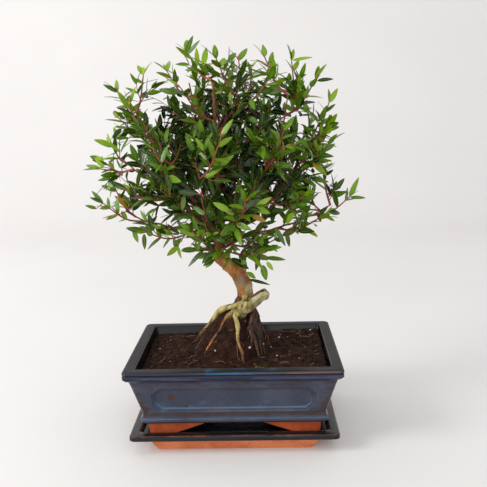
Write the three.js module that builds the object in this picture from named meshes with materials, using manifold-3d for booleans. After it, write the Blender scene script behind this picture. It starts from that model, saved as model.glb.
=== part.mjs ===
// Syzygium bonsai: a small-leaved tree on raised roots, in a glazed rectangular pot on its saucer.
// Millimetres, +Z up. The origin is the centre of the saucer's flat underside, and the front is -Y.
import * as THREE from "three";
import { mergeVertices } from "three/addons/utils/BufferGeometryUtils.js";
import Module from "manifold-3d";

const wasm = await Module();
wasm.setup();

// Driving sizes
const GAP = 0.3; // kept between pieces that touch
const CORNER_STEPS = 3; // facets of a rounded pot or saucer corner

const POT_WIDTH = 200;
const POT_DEPTH = 150;
const POT_TOP = 82;
const POT_UNDERSIDE = 27;
const POT_FLOOR = 33; // inside, on top of the floor
const FOOT_BOTTOM = 15;
const FOOT_THICKNESS = 14;
const FOOT_INSET = 19; // from the rim's edge to a foot's outer face
const ARCH_TO_CORNER = 25; // a foot's length where it stands
const ARCH_RISE_TO_CORNER = 58; // from the corner to where the front arch is full height
const SIDE_RISE_TO_CORNER = 44;
const ARCH_SHOULDER = [6, 3]; // how far an arch's shoulder stands out, and hangs below the crown
const PANEL_DEPTH = 2;
const PANEL_BEVEL = 2.2;
const PANEL_LOW = 37.6;
const PANEL_HIGH = 64;
const PANEL_HALF = 71;
const SIDE_PANEL_HALF = 47;
const PANEL_CUT = 9.5; // the panel's cut corners
const DRAIN_SPACING = 76;
const DRAIN_DIAMETER = 14;
const MESH_SIDE = 30;
const MESH_THICKNESS = 1;
const MESH_SLOT = [3.6, 22];
const MESH_PITCH = 8;

const SAUCER_WIDTH = 193;
const SAUCER_DEPTH = 143;
const SAUCER_RIM = 19.4;
const SAUCER_LEDGE = FOOT_BOTTOM - GAP;
const SAUCER_FLOOR = 5;
const SAUCER_BASE_INSET = 14;
const SAUCER_BASE_SHORTER = 9.5; // the base is this much further in at its two ends

const SOIL_LEVEL = 74;
const SOIL_RISE = [2, 1.6]; // higher at the right, and at the back
const MOUND_CENTRE = [2, 13];
const MOUND_HEIGHT = 42;
const MOUND_LEFT = 46;
const MOUND_RIGHT = 33;
const MOUND_DEPTH = 40;
const MOUND_SHOULDER = 1.9; // a higher power keeps the mound full for longer
const MOUND_FOOT = 1.1; // and this one eases it into the level soil
const LONG_RIPPLE = { height: 0.7, alongX: 9, alongY: 11 };
const SHORT_RIPPLE = { height: 0.5, alongX: 5, alongY: 7 };
const SOIL_CELLS = [18, 13];

// Sides round each kind of limb, and lengths along it
const TRUNK_FACETS = [8, 17];
const STUB_FACETS = [8, 5];
const ROOT_FACETS = [5, 5];
const BRANCH_FACETS = [4, 5];
const SHOOT_FACETS = [3, 3];
const TWIG_FACETS = [3, 1];

const CANOPY_CENTRE = new THREE.Vector3(-8, 0, 266);
const CANOPY_REACH = new THREE.Vector3(104, 84, 92); // to the shoots' tips
const CANOPY_SEED = 4127;
const SHOOT_LENGTH = 44;
const SHOOT_RISE = 12; // a shoot's tip is at least this far above its seat, where it can be
const SEAT_SPACING = 6;
const SHOOT_RADII = [1.15, 0.55];
const SHOOT_BOW = 0.14; // over the shoot's length
const BOW_TURNS = [0, 0.8, -0.8, 1.6, -1.6, 2.4, -2.4, 3.1]; // round the line from seat to tip
const TWIG_RADII = [0.75, 0.5];
const TWIG_SHARE = [0.4, 0.6]; // where a side twig leaves its shoot
const TWIG_SPREAD = [0.7, 0.95];
const TWIG_LENGTH = [13, 19];

const PAIRS = [0.46, 0.66, 0.84]; // where the pairs of leaves sit on a stem, as shares of its length
const PAIR_SPREAD = 0.95; // radians between a leaf and its stem
const END_PAIR = { share: 0.995, spread: 0.45 };
const TWIG_PAIR = { share: 0.98, spread: 0.6 };
const LEAF_TURNS = [0, 0.5, -0.5, 1, -1]; // how far a leaf may swing round its stem to stay clear
const LEAF_LENGTH = [14.5, 20];
const LEAF_SLENDERNESS = 0.34; // width over length
const LEAF_WIDTH_DRAW = [0.88, 1.14];
const LEAF_BEND = [0.04, 0.18]; // how far the tip bends down, over the length
const LEAF_THICKNESS = 0.9;
const LEAF_STATIONS = [0, 0.34, 0.7, 1];
const LEAF_SPREAD = [0, 1, 0.78, 0];
const ROLL_JITTER = 0.35;
const SPREAD_JITTER = 0.2;
const FACE_JITTER = 0.5;
const OUTWARD = 0.7; // how far a leaf faces away from the canopy's centre, and as far upwards

const glaze = new THREE.MeshStandardMaterial({ color: 0x3c4358, roughness: 0.3, metalness: 0 });
const saucerGlaze = new THREE.MeshStandardMaterial({ color: 0x33343a, roughness: 0.3, metalness: 0 });
const potting = new THREE.MeshStandardMaterial({ color: 0x33231b, roughness: 1, metalness: 0 });
const bark = new THREE.MeshStandardMaterial({ color: 0x9a6a48, roughness: 0.85, metalness: 0 });
const leafGreen = new THREE.MeshStandardMaterial({ color: 0x3f6b26, roughness: 0.4, metalness: 0 });
const blackPlastic = new THREE.MeshStandardMaterial({ color: 0x1c1c1c, roughness: 0.6, metalness: 0 });

// Solids
function solidOf(geometry) {
  const bare = geometry.clone();
  bare.deleteAttribute("normal");
  bare.deleteAttribute("uv");
  const merged = mergeVertices(bare, 1e-4);
  const triVerts = new Uint32Array(merged.index.array);
  const vertProperties = merged.attributes.position.array;
  const solid = new wasm.Manifold(new wasm.Mesh({ numProp: 3, vertProperties, triVerts }));
  if (solid.volume() > 0) return solid;
  for (let i = 0; i < triVerts.length; i += 3) {
    [triVerts[i + 1], triVerts[i + 2]] = [triVerts[i + 2], triVerts[i + 1]];
  }
  return new wasm.Manifold(new wasm.Mesh({ numProp: 3, vertProperties, triVerts }));
}

function largestBody(solid) {
  return solid.decompose().reduce((a, b) => (b.volume() > a.volume() ? b : a));
}

function meshOf(name, solid, material) {
  const made = largestBody(solid).getMesh();
  const positions = new Float32Array(made.numVert * 3);
  for (let i = 0; i < made.numVert; i++) {
    positions.set(made.vertProperties.subarray(i * made.numProp, i * made.numProp + 3), i * 3);
  }
  const geometry = new THREE.BufferGeometry();
  geometry.setAttribute("position", new THREE.BufferAttribute(positions, 3));
  geometry.setIndex(new THREE.BufferAttribute(new Uint32Array(made.triVerts), 1));
  geometry.computeVertexNormals();
  const mesh = new THREE.Mesh(geometry, material);
  mesh.name = name;
  return mesh;
}

// One point of a rectangle with round corners, counted round it from the right-hand side.
function outlinePoint(halfWidth, halfDepth, corner, index) {
  const perCorner = CORNER_STEPS + 1;
  const quarter = Math.floor(index / perCorner) % 4;
  const angle = ((quarter + (index % perCorner) / CORNER_STEPS) * Math.PI) / 2;
  const signX = quarter === 0 || quarter === 3 ? 1 : -1;
  const signY = quarter < 2 ? 1 : -1;
  return [
    signX * (halfWidth - corner) + corner * Math.cos(angle),
    signY * (halfDepth - corner) + corner * Math.sin(angle),
  ];
}

// A turned vessel whose rings are pulled out to rectangles. Each ring is its inset, corner and height,
// and how much further in its two ends are, where they are.
function rectangularVessel(width, depth, profile) {
  const around = 4 * (CORNER_STEPS + 1);
  const rings = [[null, 0, profile[0][2]], ...profile, [null, 0, profile.at(-1)[2]]];
  const geometry = new THREE.LatheGeometry(rings.map((ring) => new THREE.Vector2(1, ring[2])), around);
  const position = geometry.getAttribute("position");
  for (let i = 0; i <= around; i++) {
    rings.forEach(([inset, corner, height, shorter = 0], j) => {
      const [x, y] = inset === null
        ? [0, 0]
        : outlinePoint(width / 2 - inset - shorter, depth / 2 - inset, corner, i % around);
      position.setXYZ(i * rings.length + j, x, y, height);
    });
  }
  return solidOf(geometry);
}

function box(width, depth, height, x, y, z) {
  return solidOf(new THREE.BoxGeometry(width, depth, height).translate(x, y, z));
}

function upright(diameter, low, high, x, y) {
  const cylinder = new THREE.CylinderGeometry(diameter / 2, diameter / 2, high - low, 12);
  return solidOf(cylinder.rotateX(Math.PI / 2).translate(x, y, (low + high) / 2));
}

// Pot
const WALL_LOW = [14.9, 36.6]; // inset and height where the flared wall starts
const WALL_HIGH = [6.6, 66];

const POT_OUTSIDE = [
  [FOOT_INSET, 6, POT_UNDERSIDE],
  [14.2, 5, POT_UNDERSIDE + 0.4],
  [13.2, 5, POT_UNDERSIDE + 1.8],
  [13.2, 5, POT_UNDERSIDE + 5],
  [14.8, 5, POT_UNDERSIDE + 6.8],
  [WALL_LOW[0], 5, WALL_LOW[1]],
  [WALL_HIGH[0], 4.5, WALL_HIGH[1]],
  [5, 4, POT_TOP - 11.6],
  [3.6, 4, POT_TOP - 9.7],
  [1.4, 4, POT_TOP - 9.1],
  [0, 3.5, POT_TOP - 6.6],
  [0, 3.5, POT_TOP - 2.6],
  [0.7, 3.5, POT_TOP - 0.8],
  [2.2, 3.5, POT_TOP],
];

const POT_INSIDE = [
  [10, 5, POT_TOP],
  [10.8, 4, POT_TOP - 1],
  [12.5, 4, POT_TOP - 8],
  [18.5, 4, 56],
  [25, 4, POT_FLOOR + 2],
  [27, 3, POT_FLOOR],
];

// The arch under one side of the pot, cut right through the foot ring.
function footArch(halfLength, riseToCorner, across) {
  const foot = halfLength - ARCH_TO_CORNER;
  const crown = halfLength - riseToCorner;
  const shoulder = (foot + crown) / 2 + ARCH_SHOULDER[0];
  const shape = new THREE.Shape();
  shape.moveTo(-foot, FOOT_BOTTOM - 1);
  shape.lineTo(-foot, FOOT_BOTTOM);
  shape.quadraticCurveTo(-shoulder, POT_UNDERSIDE - ARCH_SHOULDER[1], -crown, POT_UNDERSIDE);
  shape.lineTo(crown, POT_UNDERSIDE);
  shape.quadraticCurveTo(shoulder, POT_UNDERSIDE - ARCH_SHOULDER[1], foot, FOOT_BOTTOM);
  shape.lineTo(foot, FOOT_BOTTOM - 1);
  const cut = new THREE.ExtrudeGeometry(shape, { depth: across, curveSegments: 3, bevelEnabled: false });
  return cut.translate(0, 0, -across / 2).rotateX(Math.PI / 2);
}

function feet() {
  const block = rectangularVessel(POT_WIDTH, POT_DEPTH, [
    [FOOT_INSET + 0.8, 6, FOOT_BOTTOM],
    [FOOT_INSET, 6, POT_UNDERSIDE],
    [FOOT_INSET, 6, POT_UNDERSIDE + 2],
  ]);
  const inside = FOOT_INSET + FOOT_THICKNESS;
  const hollow = rectangularVessel(POT_WIDTH, POT_DEPTH, [
    [inside, 3, FOOT_BOTTOM - 1],
    [inside, 3, POT_UNDERSIDE],
  ]);
  const longArch = solidOf(footArch(POT_WIDTH / 2 - FOOT_INSET, ARCH_RISE_TO_CORNER, POT_DEPTH));
  const sideArch = solidOf(
    footArch(POT_DEPTH / 2 - FOOT_INSET, SIDE_RISE_TO_CORNER, POT_WIDTH).rotateZ(Math.PI / 2),
  );
  return block.subtract(hollow).subtract(longArch).subtract(sideArch);
}

// The sunken panel with cut corners, seen square on to one of the flared walls.
function panelCutter(half) {
  const lean = Math.atan2(WALL_LOW[0] - WALL_HIGH[0], WALL_HIGH[1] - WALL_LOW[1]);
  const tall = (PANEL_HIGH - PANEL_LOW) / 2 / Math.cos(lean);
  const wide = half - PANEL_BEVEL;
  const high = tall - PANEL_BEVEL;
  const shape = new THREE.Shape([
    new THREE.Vector2(-wide + PANEL_CUT, -high),
    new THREE.Vector2(wide - PANEL_CUT, -high),
    new THREE.Vector2(wide, -high + PANEL_CUT),
    new THREE.Vector2(wide, high - PANEL_CUT),
    new THREE.Vector2(wide - PANEL_CUT, high),
    new THREE.Vector2(-wide + PANEL_CUT, high),
    new THREE.Vector2(-wide, high - PANEL_CUT),
    new THREE.Vector2(-wide, -high + PANEL_CUT),
  ]);
  const cutter = new THREE.ExtrudeGeometry(shape, {
    depth: PANEL_DEPTH,
    bevelThickness: PANEL_DEPTH,
    bevelSize: PANEL_BEVEL,
    bevelSegments: 1,
  });
  return cutter.rotateX(Math.PI / 2 + lean);
}

function potPanels() {
  const middle = (PANEL_LOW + PANEL_HIGH) / 2;
  const share = (middle - WALL_LOW[1]) / (WALL_HIGH[1] - WALL_LOW[1]);
  const inset = WALL_LOW[0] + (WALL_HIGH[0] - WALL_LOW[0]) * share;
  const walls = [
    [PANEL_HALF, POT_DEPTH, 0],
    [SIDE_PANEL_HALF, POT_WIDTH, 1],
    [PANEL_HALF, POT_DEPTH, 2],
    [SIDE_PANEL_HALF, POT_WIDTH, 3],
  ];
  return walls.map(([half, span, quarter]) => {
    const cutter = panelCutter(half).translate(0, inset - span / 2, middle);
    return solidOf(cutter.rotateZ((quarter * Math.PI) / 2));
  });
}

function pot() {
  let body = rectangularVessel(POT_WIDTH, POT_DEPTH, [...POT_OUTSIDE, ...POT_INSIDE]).add(feet());
  for (const panel of potPanels()) body = body.subtract(panel);
  for (const side of [-1, 1]) {
    body = body.subtract(
      upright(DRAIN_DIAMETER, POT_UNDERSIDE - 1, POT_FLOOR + 1, (side * DRAIN_SPACING) / 2, 0),
    );
  }
  return body;
}

// Plastic mesh that keeps the soil over a drain hole
function drainMesh(side) {
  const x = (side * DRAIN_SPACING) / 2;
  const z = POT_FLOOR + GAP + MESH_THICKNESS / 2;
  let plate = box(MESH_SIDE, MESH_SIDE, MESH_THICKNESS, x, 0, z);
  for (const column of [-1, 0, 1]) {
    plate = plate.subtract(box(...MESH_SLOT, 2 * MESH_THICKNESS, x + column * MESH_PITCH, 0, z));
  }
  return plate;
}

// Saucer: a basin with a ledge that the pot's feet stand on, and a broad flat rim
function saucer() {
  return rectangularVessel(SAUCER_WIDTH, SAUCER_DEPTH, [
    [SAUCER_BASE_INSET, 6, 0, SAUCER_BASE_SHORTER],
    [SAUCER_BASE_INSET - 3.5, 7, SAUCER_RIM - 8.4, SAUCER_BASE_SHORTER - 4],
    [2, 5, SAUCER_RIM - 6],
    [0, 4, SAUCER_RIM - 5],
    [0, 4, SAUCER_RIM - 1],
    [0.9, 4, SAUCER_RIM],
    [9, 5, SAUCER_RIM],
    [10, 5, SAUCER_RIM - 0.8],
    [10.6, 5, SAUCER_LEDGE],
    [20.5, 5, SAUCER_LEDGE],
    [22, 5, SAUCER_LEDGE - 1.4],
    [26.5, 4, SAUCER_FLOOR + 0.6],
    [28, 4, SAUCER_FLOOR],
  ]);
}

// Tree: each limb is a list of stations, x, y, z and radius, from its root to its end
const LEADER_START = 6; // the trunk's station from which the leader bears shoots
const TRUNK = [
  [1, 15, 52, 7],
  [2, 14, 88, 11],
  [7, 13, 114, 10],
  [11.5, 10, 129, 8],
  [7, 6, 150, 7.6],
  [-6, 3, 164, 6.8],
  [-14, 0, 174, 6],
  [-12, -6, 190, 4.4],
  [-11, -22, 222, 3.3],
  [-10, -36, 262, 2.7],
  [-11, -34, 300, 2],
  [-12, -26, 336, 1.3],
];

const STUB = [
  [4, 4, 112, 5.5],
  [12, -3, 121, 6.2],
  [22, -5, 129, 6.4],
  [30, -6, 135, 6.2],
  [33, -6, 137.5, 3.4],
];

const ROOTS = [
  [[11, 10, 126, 4], [-1, 10, 119.5, 3.4], [-13, 11, 115, 3.1], [-22, 15, 104, 2.6], [-33, 22, 89, 2.1],
    [-44, 30, 74, 1.6], [-58, 36, 62, 1]],
  [[4, 8, 118, 3], [-8, 0, 109.5, 1.7], [-17, -6, 96, 1.5], [-25, -10, 84, 1.3], [-33, -14, 70, 1]],
  [[4, 6, 116, 3.4], [1.5, -5, 112, 2.6], [4, -12, 100.5, 2.3], [4.5, -18, 90.5, 1.9], [8, -26, 77, 1.5],
    [12, -33, 64, 1]],
  [[12, 8, 118, 4], [18, -1, 114, 2.6], [17, -6, 104, 2.4], [19, -12, 93, 1.9], [24, -20, 76, 1.2]],
  [[10, 12, 120, 5], [20, 13, 112, 3.6], [25, 15, 98, 3], [31, 18, 82, 2.2], [42, 22, 64, 1.2]],
  [[9, 14, 116, 5], [14, 27, 106, 3.2], [18, 38, 94, 2.6], [24, 48, 74, 1.6]],
  [[5, 14, 116, 5], [-3, 28, 107, 3.2], [-12, 38, 94, 2.4], [-20, 47, 74, 1.5]],
];

const BRANCHES = [
  [[-13, -2, 180, 3], [2, -14, 206, 2.1], [18, -32, 235, 1.8], [38, -46, 266, 1.6], [48, -46, 294, 1.3],
    [54, -30, 322, 0.9]],
  [[-12, -8, 194, 2.5], [-32, -26, 228, 1.8], [-52, -40, 262, 1.6], [-72, -30, 294, 1.3],
    [-90, -14, 320, 0.9]],
  [[-13, -4, 184, 2.6], [-34, -26, 216, 1.8], [-54, -34, 238, 1.5], [-84, -22, 256, 1.2],
    [-102, -4, 268, 0.9]],
  [[-14, 0, 177, 2.6], [-34, -6, 194, 1.8], [-60, -12, 203, 1.5], [-84, -10, 210, 1.2],
    [-100, -6, 218, 0.9]],
  [[-12, -4, 186, 2.5], [18, -18, 212, 1.8], [40, -22, 230, 1.5], [62, -12, 256, 1.2],
    [74, -2, 274, 0.9]],
  [[-13, -1, 178, 2.5], [14, 2, 190, 1.7], [42, 0, 198, 1.5], [70, -4, 208, 1.2], [94, -5, 220, 0.9]],
  [[-10, -35, 256, 2.2], [14, -24, 280, 1.6], [42, -8, 298, 1.3], [68, -2, 312, 0.9]],
  [[-11, -35, 288, 1.7], [6, -18, 312, 1.3], [26, -4, 334, 0.9]],
  [[-10, -34, 274, 1.9], [-28, -14, 306, 1.4], [-36, -2, 336, 0.9]],
  [[-13, -3, 186, 2.7], [-6, 24, 212, 1.9], [2, 44, 240, 1.6], [6, 52, 276, 1.3], [4, 46, 310, 0.9]],
  [[-12, -6, 192, 2.3], [-38, 18, 222, 1.7], [-62, 34, 252, 1.3], [-74, 36, 286, 0.9]],
  [[-12, -5, 190, 2.3], [14, 20, 214, 1.7], [44, 34, 244, 1.3], [62, 36, 280, 0.9]],
  [[-12, -6, 188, 2.2], [-18, -30, 200, 1.6], [-22, -50, 222, 1.2], [-24, -58, 252, 0.9]],
  [[-12, -8, 196, 2.2], [-2, -34, 208, 1.5], [14, -52, 222, 1.2], [24, -60, 246, 0.9]],
];

function curveOf(stations) {
  const points = stations.map(([x, y, z]) => new THREE.Vector3(x, y, z));
  return new THREE.CatmullRomCurve3(points, false, "catmullrom", 0.5);
}

// A round bar bent along a limb's stations, with the radius running evenly between theirs.
function limb(stations, [sides, steps], grown = 0) {
  const curve = curveOf(stations);
  const frames = curve.computeFrenetFrames(steps);
  const geometry = new THREE.CylinderGeometry(1, 1, 1, sides, steps);
  const position = geometry.getAttribute("position");
  for (let i = 0; i < position.count; i++) {
    const step = Math.round((0.5 - position.getY(i)) * steps);
    const share = curve.getUtoTmapping(step / steps) * (stations.length - 1);
    const station = Math.min(Math.floor(share), stations.length - 2);
    const [from, to] = [stations[station][3], stations[station + 1][3]];
    const radius = from + (to - from) * (share - station) + grown;
    const end = step === 0 ? -grown : step === steps ? grown : 0;
    const point = curve.getPointAt(step / steps);
    point.addScaledVector(frames.tangents[step], end);
    point.addScaledVector(frames.normals[step], position.getX(i) * radius);
    point.addScaledVector(frames.binormals[step], position.getZ(i) * radius);
    position.setXYZ(i, point.x, point.y, point.z);
  }
  return solidOf(geometry);
}

function wood(grown = 0) {
  return wasm.Manifold.union([
    limb(TRUNK, TRUNK_FACETS, grown),
    limb(STUB, STUB_FACETS, grown),
    ...ROOTS.map((stations) => limb(stations, ROOT_FACETS, grown)),
    ...BRANCHES.map((stations) => limb(stations, BRANCH_FACETS, grown)),
  ]);
}

// Soil: fills the pot, slopes to the front left and is heaped up round the raised roots
function soilHeight(x, y) {
  const across = x - MOUND_CENTRE[0];
  const reach = across < 0 ? MOUND_LEFT : MOUND_RIGHT;
  const away = Math.hypot(across / reach, (y - MOUND_CENTRE[1]) / MOUND_DEPTH);
  const mound = away < 1 ? MOUND_HEIGHT * (1 - away ** MOUND_SHOULDER) ** MOUND_FOOT : 0;
  const slope = (SOIL_RISE[0] * x * 2) / POT_WIDTH + (SOIL_RISE[1] * y * 2) / POT_DEPTH;
  const long = LONG_RIPPLE.height * Math.sin(x / LONG_RIPPLE.alongX + 1) * Math.cos(y / LONG_RIPPLE.alongY);
  const short = SHORT_RIPPLE.height * Math.sin(x / SHORT_RIPPLE.alongX - y / SHORT_RIPPLE.alongY);
  return SOIL_LEVEL + slope + long + short + mound;
}

function soil(roots) {
  const inside = POT_INSIDE.slice(1).map(([inset, corner, height]) => [inset + GAP, corner, height]);
  inside.at(-1)[2] += GAP;
  inside.unshift([inside[0][0], inside[0][1], POT_TOP + MOUND_HEIGHT]);
  const heap = new THREE.BoxGeometry(POT_WIDTH - 20, POT_DEPTH - 20, 1, ...SOIL_CELLS, 1);
  const position = heap.getAttribute("position");
  for (let i = 0; i < position.count; i++) {
    const top = position.getZ(i) > 0;
    position.setZ(i, top ? soilHeight(position.getX(i), position.getY(i)) : POT_UNDERSIDE);
  }
  let body = rectangularVessel(POT_WIDTH, POT_DEPTH, inside).intersect(solidOf(heap)).subtract(roots);
  const recess = [MESH_SIDE + 2 * GAP, MESH_SIDE + 2 * GAP, 2 * (MESH_THICKNESS + GAP)];
  for (const side of [-1, 1]) {
    body = body.subtract(box(...recess, (side * DRAIN_SPACING) / 2, 0, POT_FLOOR + GAP));
  }
  return body;
}

// Leafy shoots
function dice(seed) {
  let state = seed;
  return (low, high) => {
    state = (state * 1664525 + 1013904223) % 4294967296;
    return low + ((high - low) * state) / 4294967296;
  };
}

// Where the shoots end that make the outline seen from the front
const OUTLINE_TIPS = [
  [-34, -10, 180], [-81, -15, 199], [-121, -10, 227], [-116, 15, 243], [-122, 6, 265], [-116, 16, 284],
  [-103, -5, 306], [-102, -5, 330], [-80, 10, 345], [-58, 15, 348], [-37, 0, 364], [-10, -8, 357],
  [10, 12, 356], [34, -5, 358], [59, 0, 354], [81, -5, 337], [95, 15, 316], [92, 0, 292],
  [87, 10, 262], [114, -5, 229], [82, -15, 209], [49, 10, 189], [31, -15, 180],
];

const ROUND_TIPS = 33; // spaced over the whole canopy, of which the belt by the outline is left out
const BELT = 0.3;
const LOWEST_ROUND_TIP = 188;
const GOLDEN_ANGLE = Math.PI * (3 - Math.sqrt(5));
const SEAT_STEPS = 20; // places looked at along each branch

function shootTips() {
  const tips = OUTLINE_TIPS.map((tip) => new THREE.Vector3(...tip));
  for (let i = 0; i < ROUND_TIPS; i++) {
    const depth = 1 - (2 * (i + 0.5)) / ROUND_TIPS;
    const ring = Math.sqrt(1 - depth * depth);
    const turn = i * GOLDEN_ANGLE;
    const unit = new THREE.Vector3(ring * Math.cos(turn), depth, ring * Math.sin(turn));
    const tip = unit.multiply(CANOPY_REACH).add(CANOPY_CENTRE);
    if (Math.abs(depth) > BELT && tip.z > LOWEST_ROUND_TIP) tips.push(tip);
  }
  return tips;
}

// The point of the branches that a shoot of the usual length would grow from, a little off the others.
function shootSeat(tip, taken) {
  let best = null;
  for (const stations of [TRUNK.slice(LEADER_START), ...BRANCHES]) {
    const curve = curveOf(stations);
    for (let step = 2; step <= SEAT_STEPS; step++) {
      const point = curve.getPoint(step / SEAT_STEPS);
      let cost = Math.abs(point.distanceTo(tip) - SHOOT_LENGTH);
      cost += Math.max(0, point.z + SHOOT_RISE - tip.z) / 2;
      if (taken.some((other) => other.distanceTo(point) < SEAT_SPACING)) cost += SHOOT_LENGTH;
      if (!best || cost < best.cost) best = { cost, point };
    }
  }
  return best.point;
}

// A shoot bows down and outwards between its seat and its tip, and other bows are tried in turn.
function shootStations(seat, tip, turn) {
  const span = new THREE.Vector3().subVectors(tip, seat);
  const bow = new THREE.Vector3(0, 0, -SHOOT_BOW * span.length());
  bow.applyAxisAngle(span.clone().normalize(), turn);
  const middle = new THREE.Vector3().addVectors(seat, tip).multiplyScalar(0.5).add(bow);
  return [
    [...seat.toArray(), SHOOT_RADII[0]],
    [...middle.toArray(), (SHOOT_RADII[0] + SHOOT_RADII[1]) / 2],
    [...tip.toArray(), SHOOT_RADII[1]],
  ];
}

// The way that a leaf or twig leaves a stem: rolled round it, and spread away from it.
function heading(curve, share, roll, spread) {
  const tangent = curve.getTangent(share);
  const side = new THREE.Vector3(0, 0, 1).cross(tangent).normalize().applyAxisAngle(tangent, roll);
  return tangent.multiplyScalar(Math.cos(spread)).addScaledVector(side, Math.sin(spread));
}

// One leaf: where it starts, its length and face directions, and its size.
function leafAt(curve, share, roll, spread, draw) {
  const base = curve.getPoint(share);
  const turned = roll + draw(-ROLL_JITTER, ROLL_JITTER);
  const along = heading(curve, share, turned, spread + draw(-SPREAD_JITTER, SPREAD_JITTER));
  const face = base.clone().sub(CANOPY_CENTRE).normalize().multiplyScalar(OUTWARD);
  face.x += draw(-FACE_JITTER, FACE_JITTER);
  face.y += draw(-FACE_JITTER, FACE_JITTER);
  face.z += OUTWARD;
  face.addScaledVector(along, -face.dot(along)).normalize();
  const length = draw(...LEAF_LENGTH);
  const bend = length * draw(...LEAF_BEND);
  const width = length * LEAF_SLENDERNESS * draw(...LEAF_WIDTH_DRAW);
  return { base, along, face, length, width, bend };
}

// A blade with a pointed tip that bends down, flat on top and keeled along the midrib beneath.
function blade({ base, along, face, length, width, bend }, grown = 0) {
  const across = new THREE.Vector3().crossVectors(along, face);
  const geometry = new THREE.SphereGeometry(1, 3, 3);
  const position = geometry.getAttribute("position");
  for (let i = 0; i < position.count; i++) {
    const row = Math.floor(i / 4);
    const corner = (i % 4) % 3;
    const share = LEAF_STATIONS[row];
    const half = (LEAF_SPREAD[row] * width) / 2 + grown;
    const point = base.clone().addScaledVector(along, share * (length + grown));
    point.addScaledVector(face, -bend * share * share);
    if (row > 0 && row < 3) {
      point.addScaledVector(across, [-half, half, 0][corner]);
      point.addScaledVector(face, corner < 2 ? grown : -LEAF_THICKNESS - grown);
    }
    position.setXYZ(i, point.x, point.y, point.z);
  }
  return solidOf(geometry);
}

function boxesMeet(a, b) {
  return [0, 1, 2].every((axis) => a.min[axis] <= b.max[axis] && b.min[axis] <= a.max[axis]);
}

function meetsAny(solid, others) {
  const bounds = solid.boundingBox();
  const near = others.filter((other) => boxesMeet(bounds, other.bounds));
  return near.some((other) => !solid.intersect(other.solid).isEmpty());
}

function keptPiece(solid) {
  return { solid, bounds: solid.boundingBox() };
}

// Each second shoot has a side twig. Where the stems would cross others, another bow is tried.
function growStem(tip, index, taken, others, woodAround, draw) {
  const seat = shootSeat(tip, taken);
  taken.push(seat);
  const twigShare = draw(...TWIG_SHARE);
  const twigRoll = draw(0, 1) < 0.5 ? 0 : Math.PI;
  const twigSpread = draw(...TWIG_SPREAD);
  const twigLength = draw(...TWIG_LENGTH);
  for (const turn of BOW_TURNS) {
    const stations = shootStations(seat, tip, turn);
    const stem = { curve: curveOf(stations), pieces: [keptPiece(limb(stations, SHOOT_FACETS))] };
    let clear = !meetsAny(limb(stations, SHOOT_FACETS, GAP), others);
    if (index % 2 === 0) {
      const start = stem.curve.getPoint(twigShare);
      const along = heading(stem.curve, twigShare, twigRoll, twigSpread);
      const twig = [0, 0.5, 1].map((share) => [
        ...start.clone().addScaledVector(along, share * twigLength).toArray(),
        TWIG_RADII[0] + (TWIG_RADII[1] - TWIG_RADII[0]) * share,
      ]);
      stem.twigCurve = curveOf(twig);
      stem.pieces.push(keptPiece(limb(twig, TWIG_FACETS)));
      clear = clear && !meetsAny(limb(twig, TWIG_FACETS, GAP), [...others, ...woodAround]);
    }
    if (clear || turn === BOW_TURNS.at(-1)) return stem;
  }
}

function growLeaves(stem, others, draw) {
  const seats = PAIRS.map((share, pair) => [stem.curve, share, (pair * Math.PI) / 2, PAIR_SPREAD]);
  seats.push([stem.curve, END_PAIR.share, ((PAIRS.length + 1) * Math.PI) / 2, END_PAIR.spread]);
  if (stem.twigCurve) seats.push([stem.twigCurve, TWIG_PAIR.share, 0, TWIG_PAIR.spread]);
  for (const [curve, share, roll, spread] of seats) {
    for (const half of [0, Math.PI]) {
      const leafSeed = Math.floor(draw(1, 1e6));
      for (const turn of LEAF_TURNS) {
        const leaf = leafAt(curve, share, roll + half + turn, spread, dice(leafSeed));
        if (meetsAny(blade(leaf, GAP), others)) continue;
        stem.pieces.push(keptPiece(blade(leaf)));
        break;
      }
    }
  }
}

// All the stems grow first, so that the leaves can then stay clear of them.
function leafyShoots(woodAround) {
  const stemDraw = dice(CANOPY_SEED);
  const leafDraw = dice(CANOPY_SEED + 1);
  const taken = [];
  const stems = [];
  shootTips().forEach((tip, index) => {
    const others = stems.flatMap((stem) => stem.pieces);
    stems.push(growStem(tip, index, taken, others, woodAround, stemDraw));
  });
  for (const stem of stems) {
    const others = stems.filter((other) => other !== stem).flatMap((other) => other.pieces);
    growLeaves(stem, [...others, ...woodAround], leafDraw);
  }
  return stems.map((stem) => wasm.Manifold.union(stem.pieces.map((piece) => piece.solid)));
}

// Assembly
const group = new THREE.Group();
const woodClearance = wood(GAP);

group.add(meshOf("saucer", saucer(), saucerGlaze));
group.add(meshOf("pot", pot(), glaze));
group.add(meshOf("drain_mesh_left", drainMesh(-1), blackPlastic));
group.add(meshOf("drain_mesh_right", drainMesh(1), blackPlastic));
group.add(meshOf("soil", soil(woodClearance), potting));
group.add(meshOf("trunk", wood(), bark));
leafyShoots([keptPiece(woodClearance)]).forEach((shoot, index) => {
  const name = "spray_" + String(index + 1).padStart(2, "0");
  group.add(meshOf(name, shoot.subtract(woodClearance), leafGreen));
});

export default group;
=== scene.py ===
import math

import bmesh
import bpy
from mathutils import Matrix, Quaternion, Vector, kdtree, noise


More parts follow.
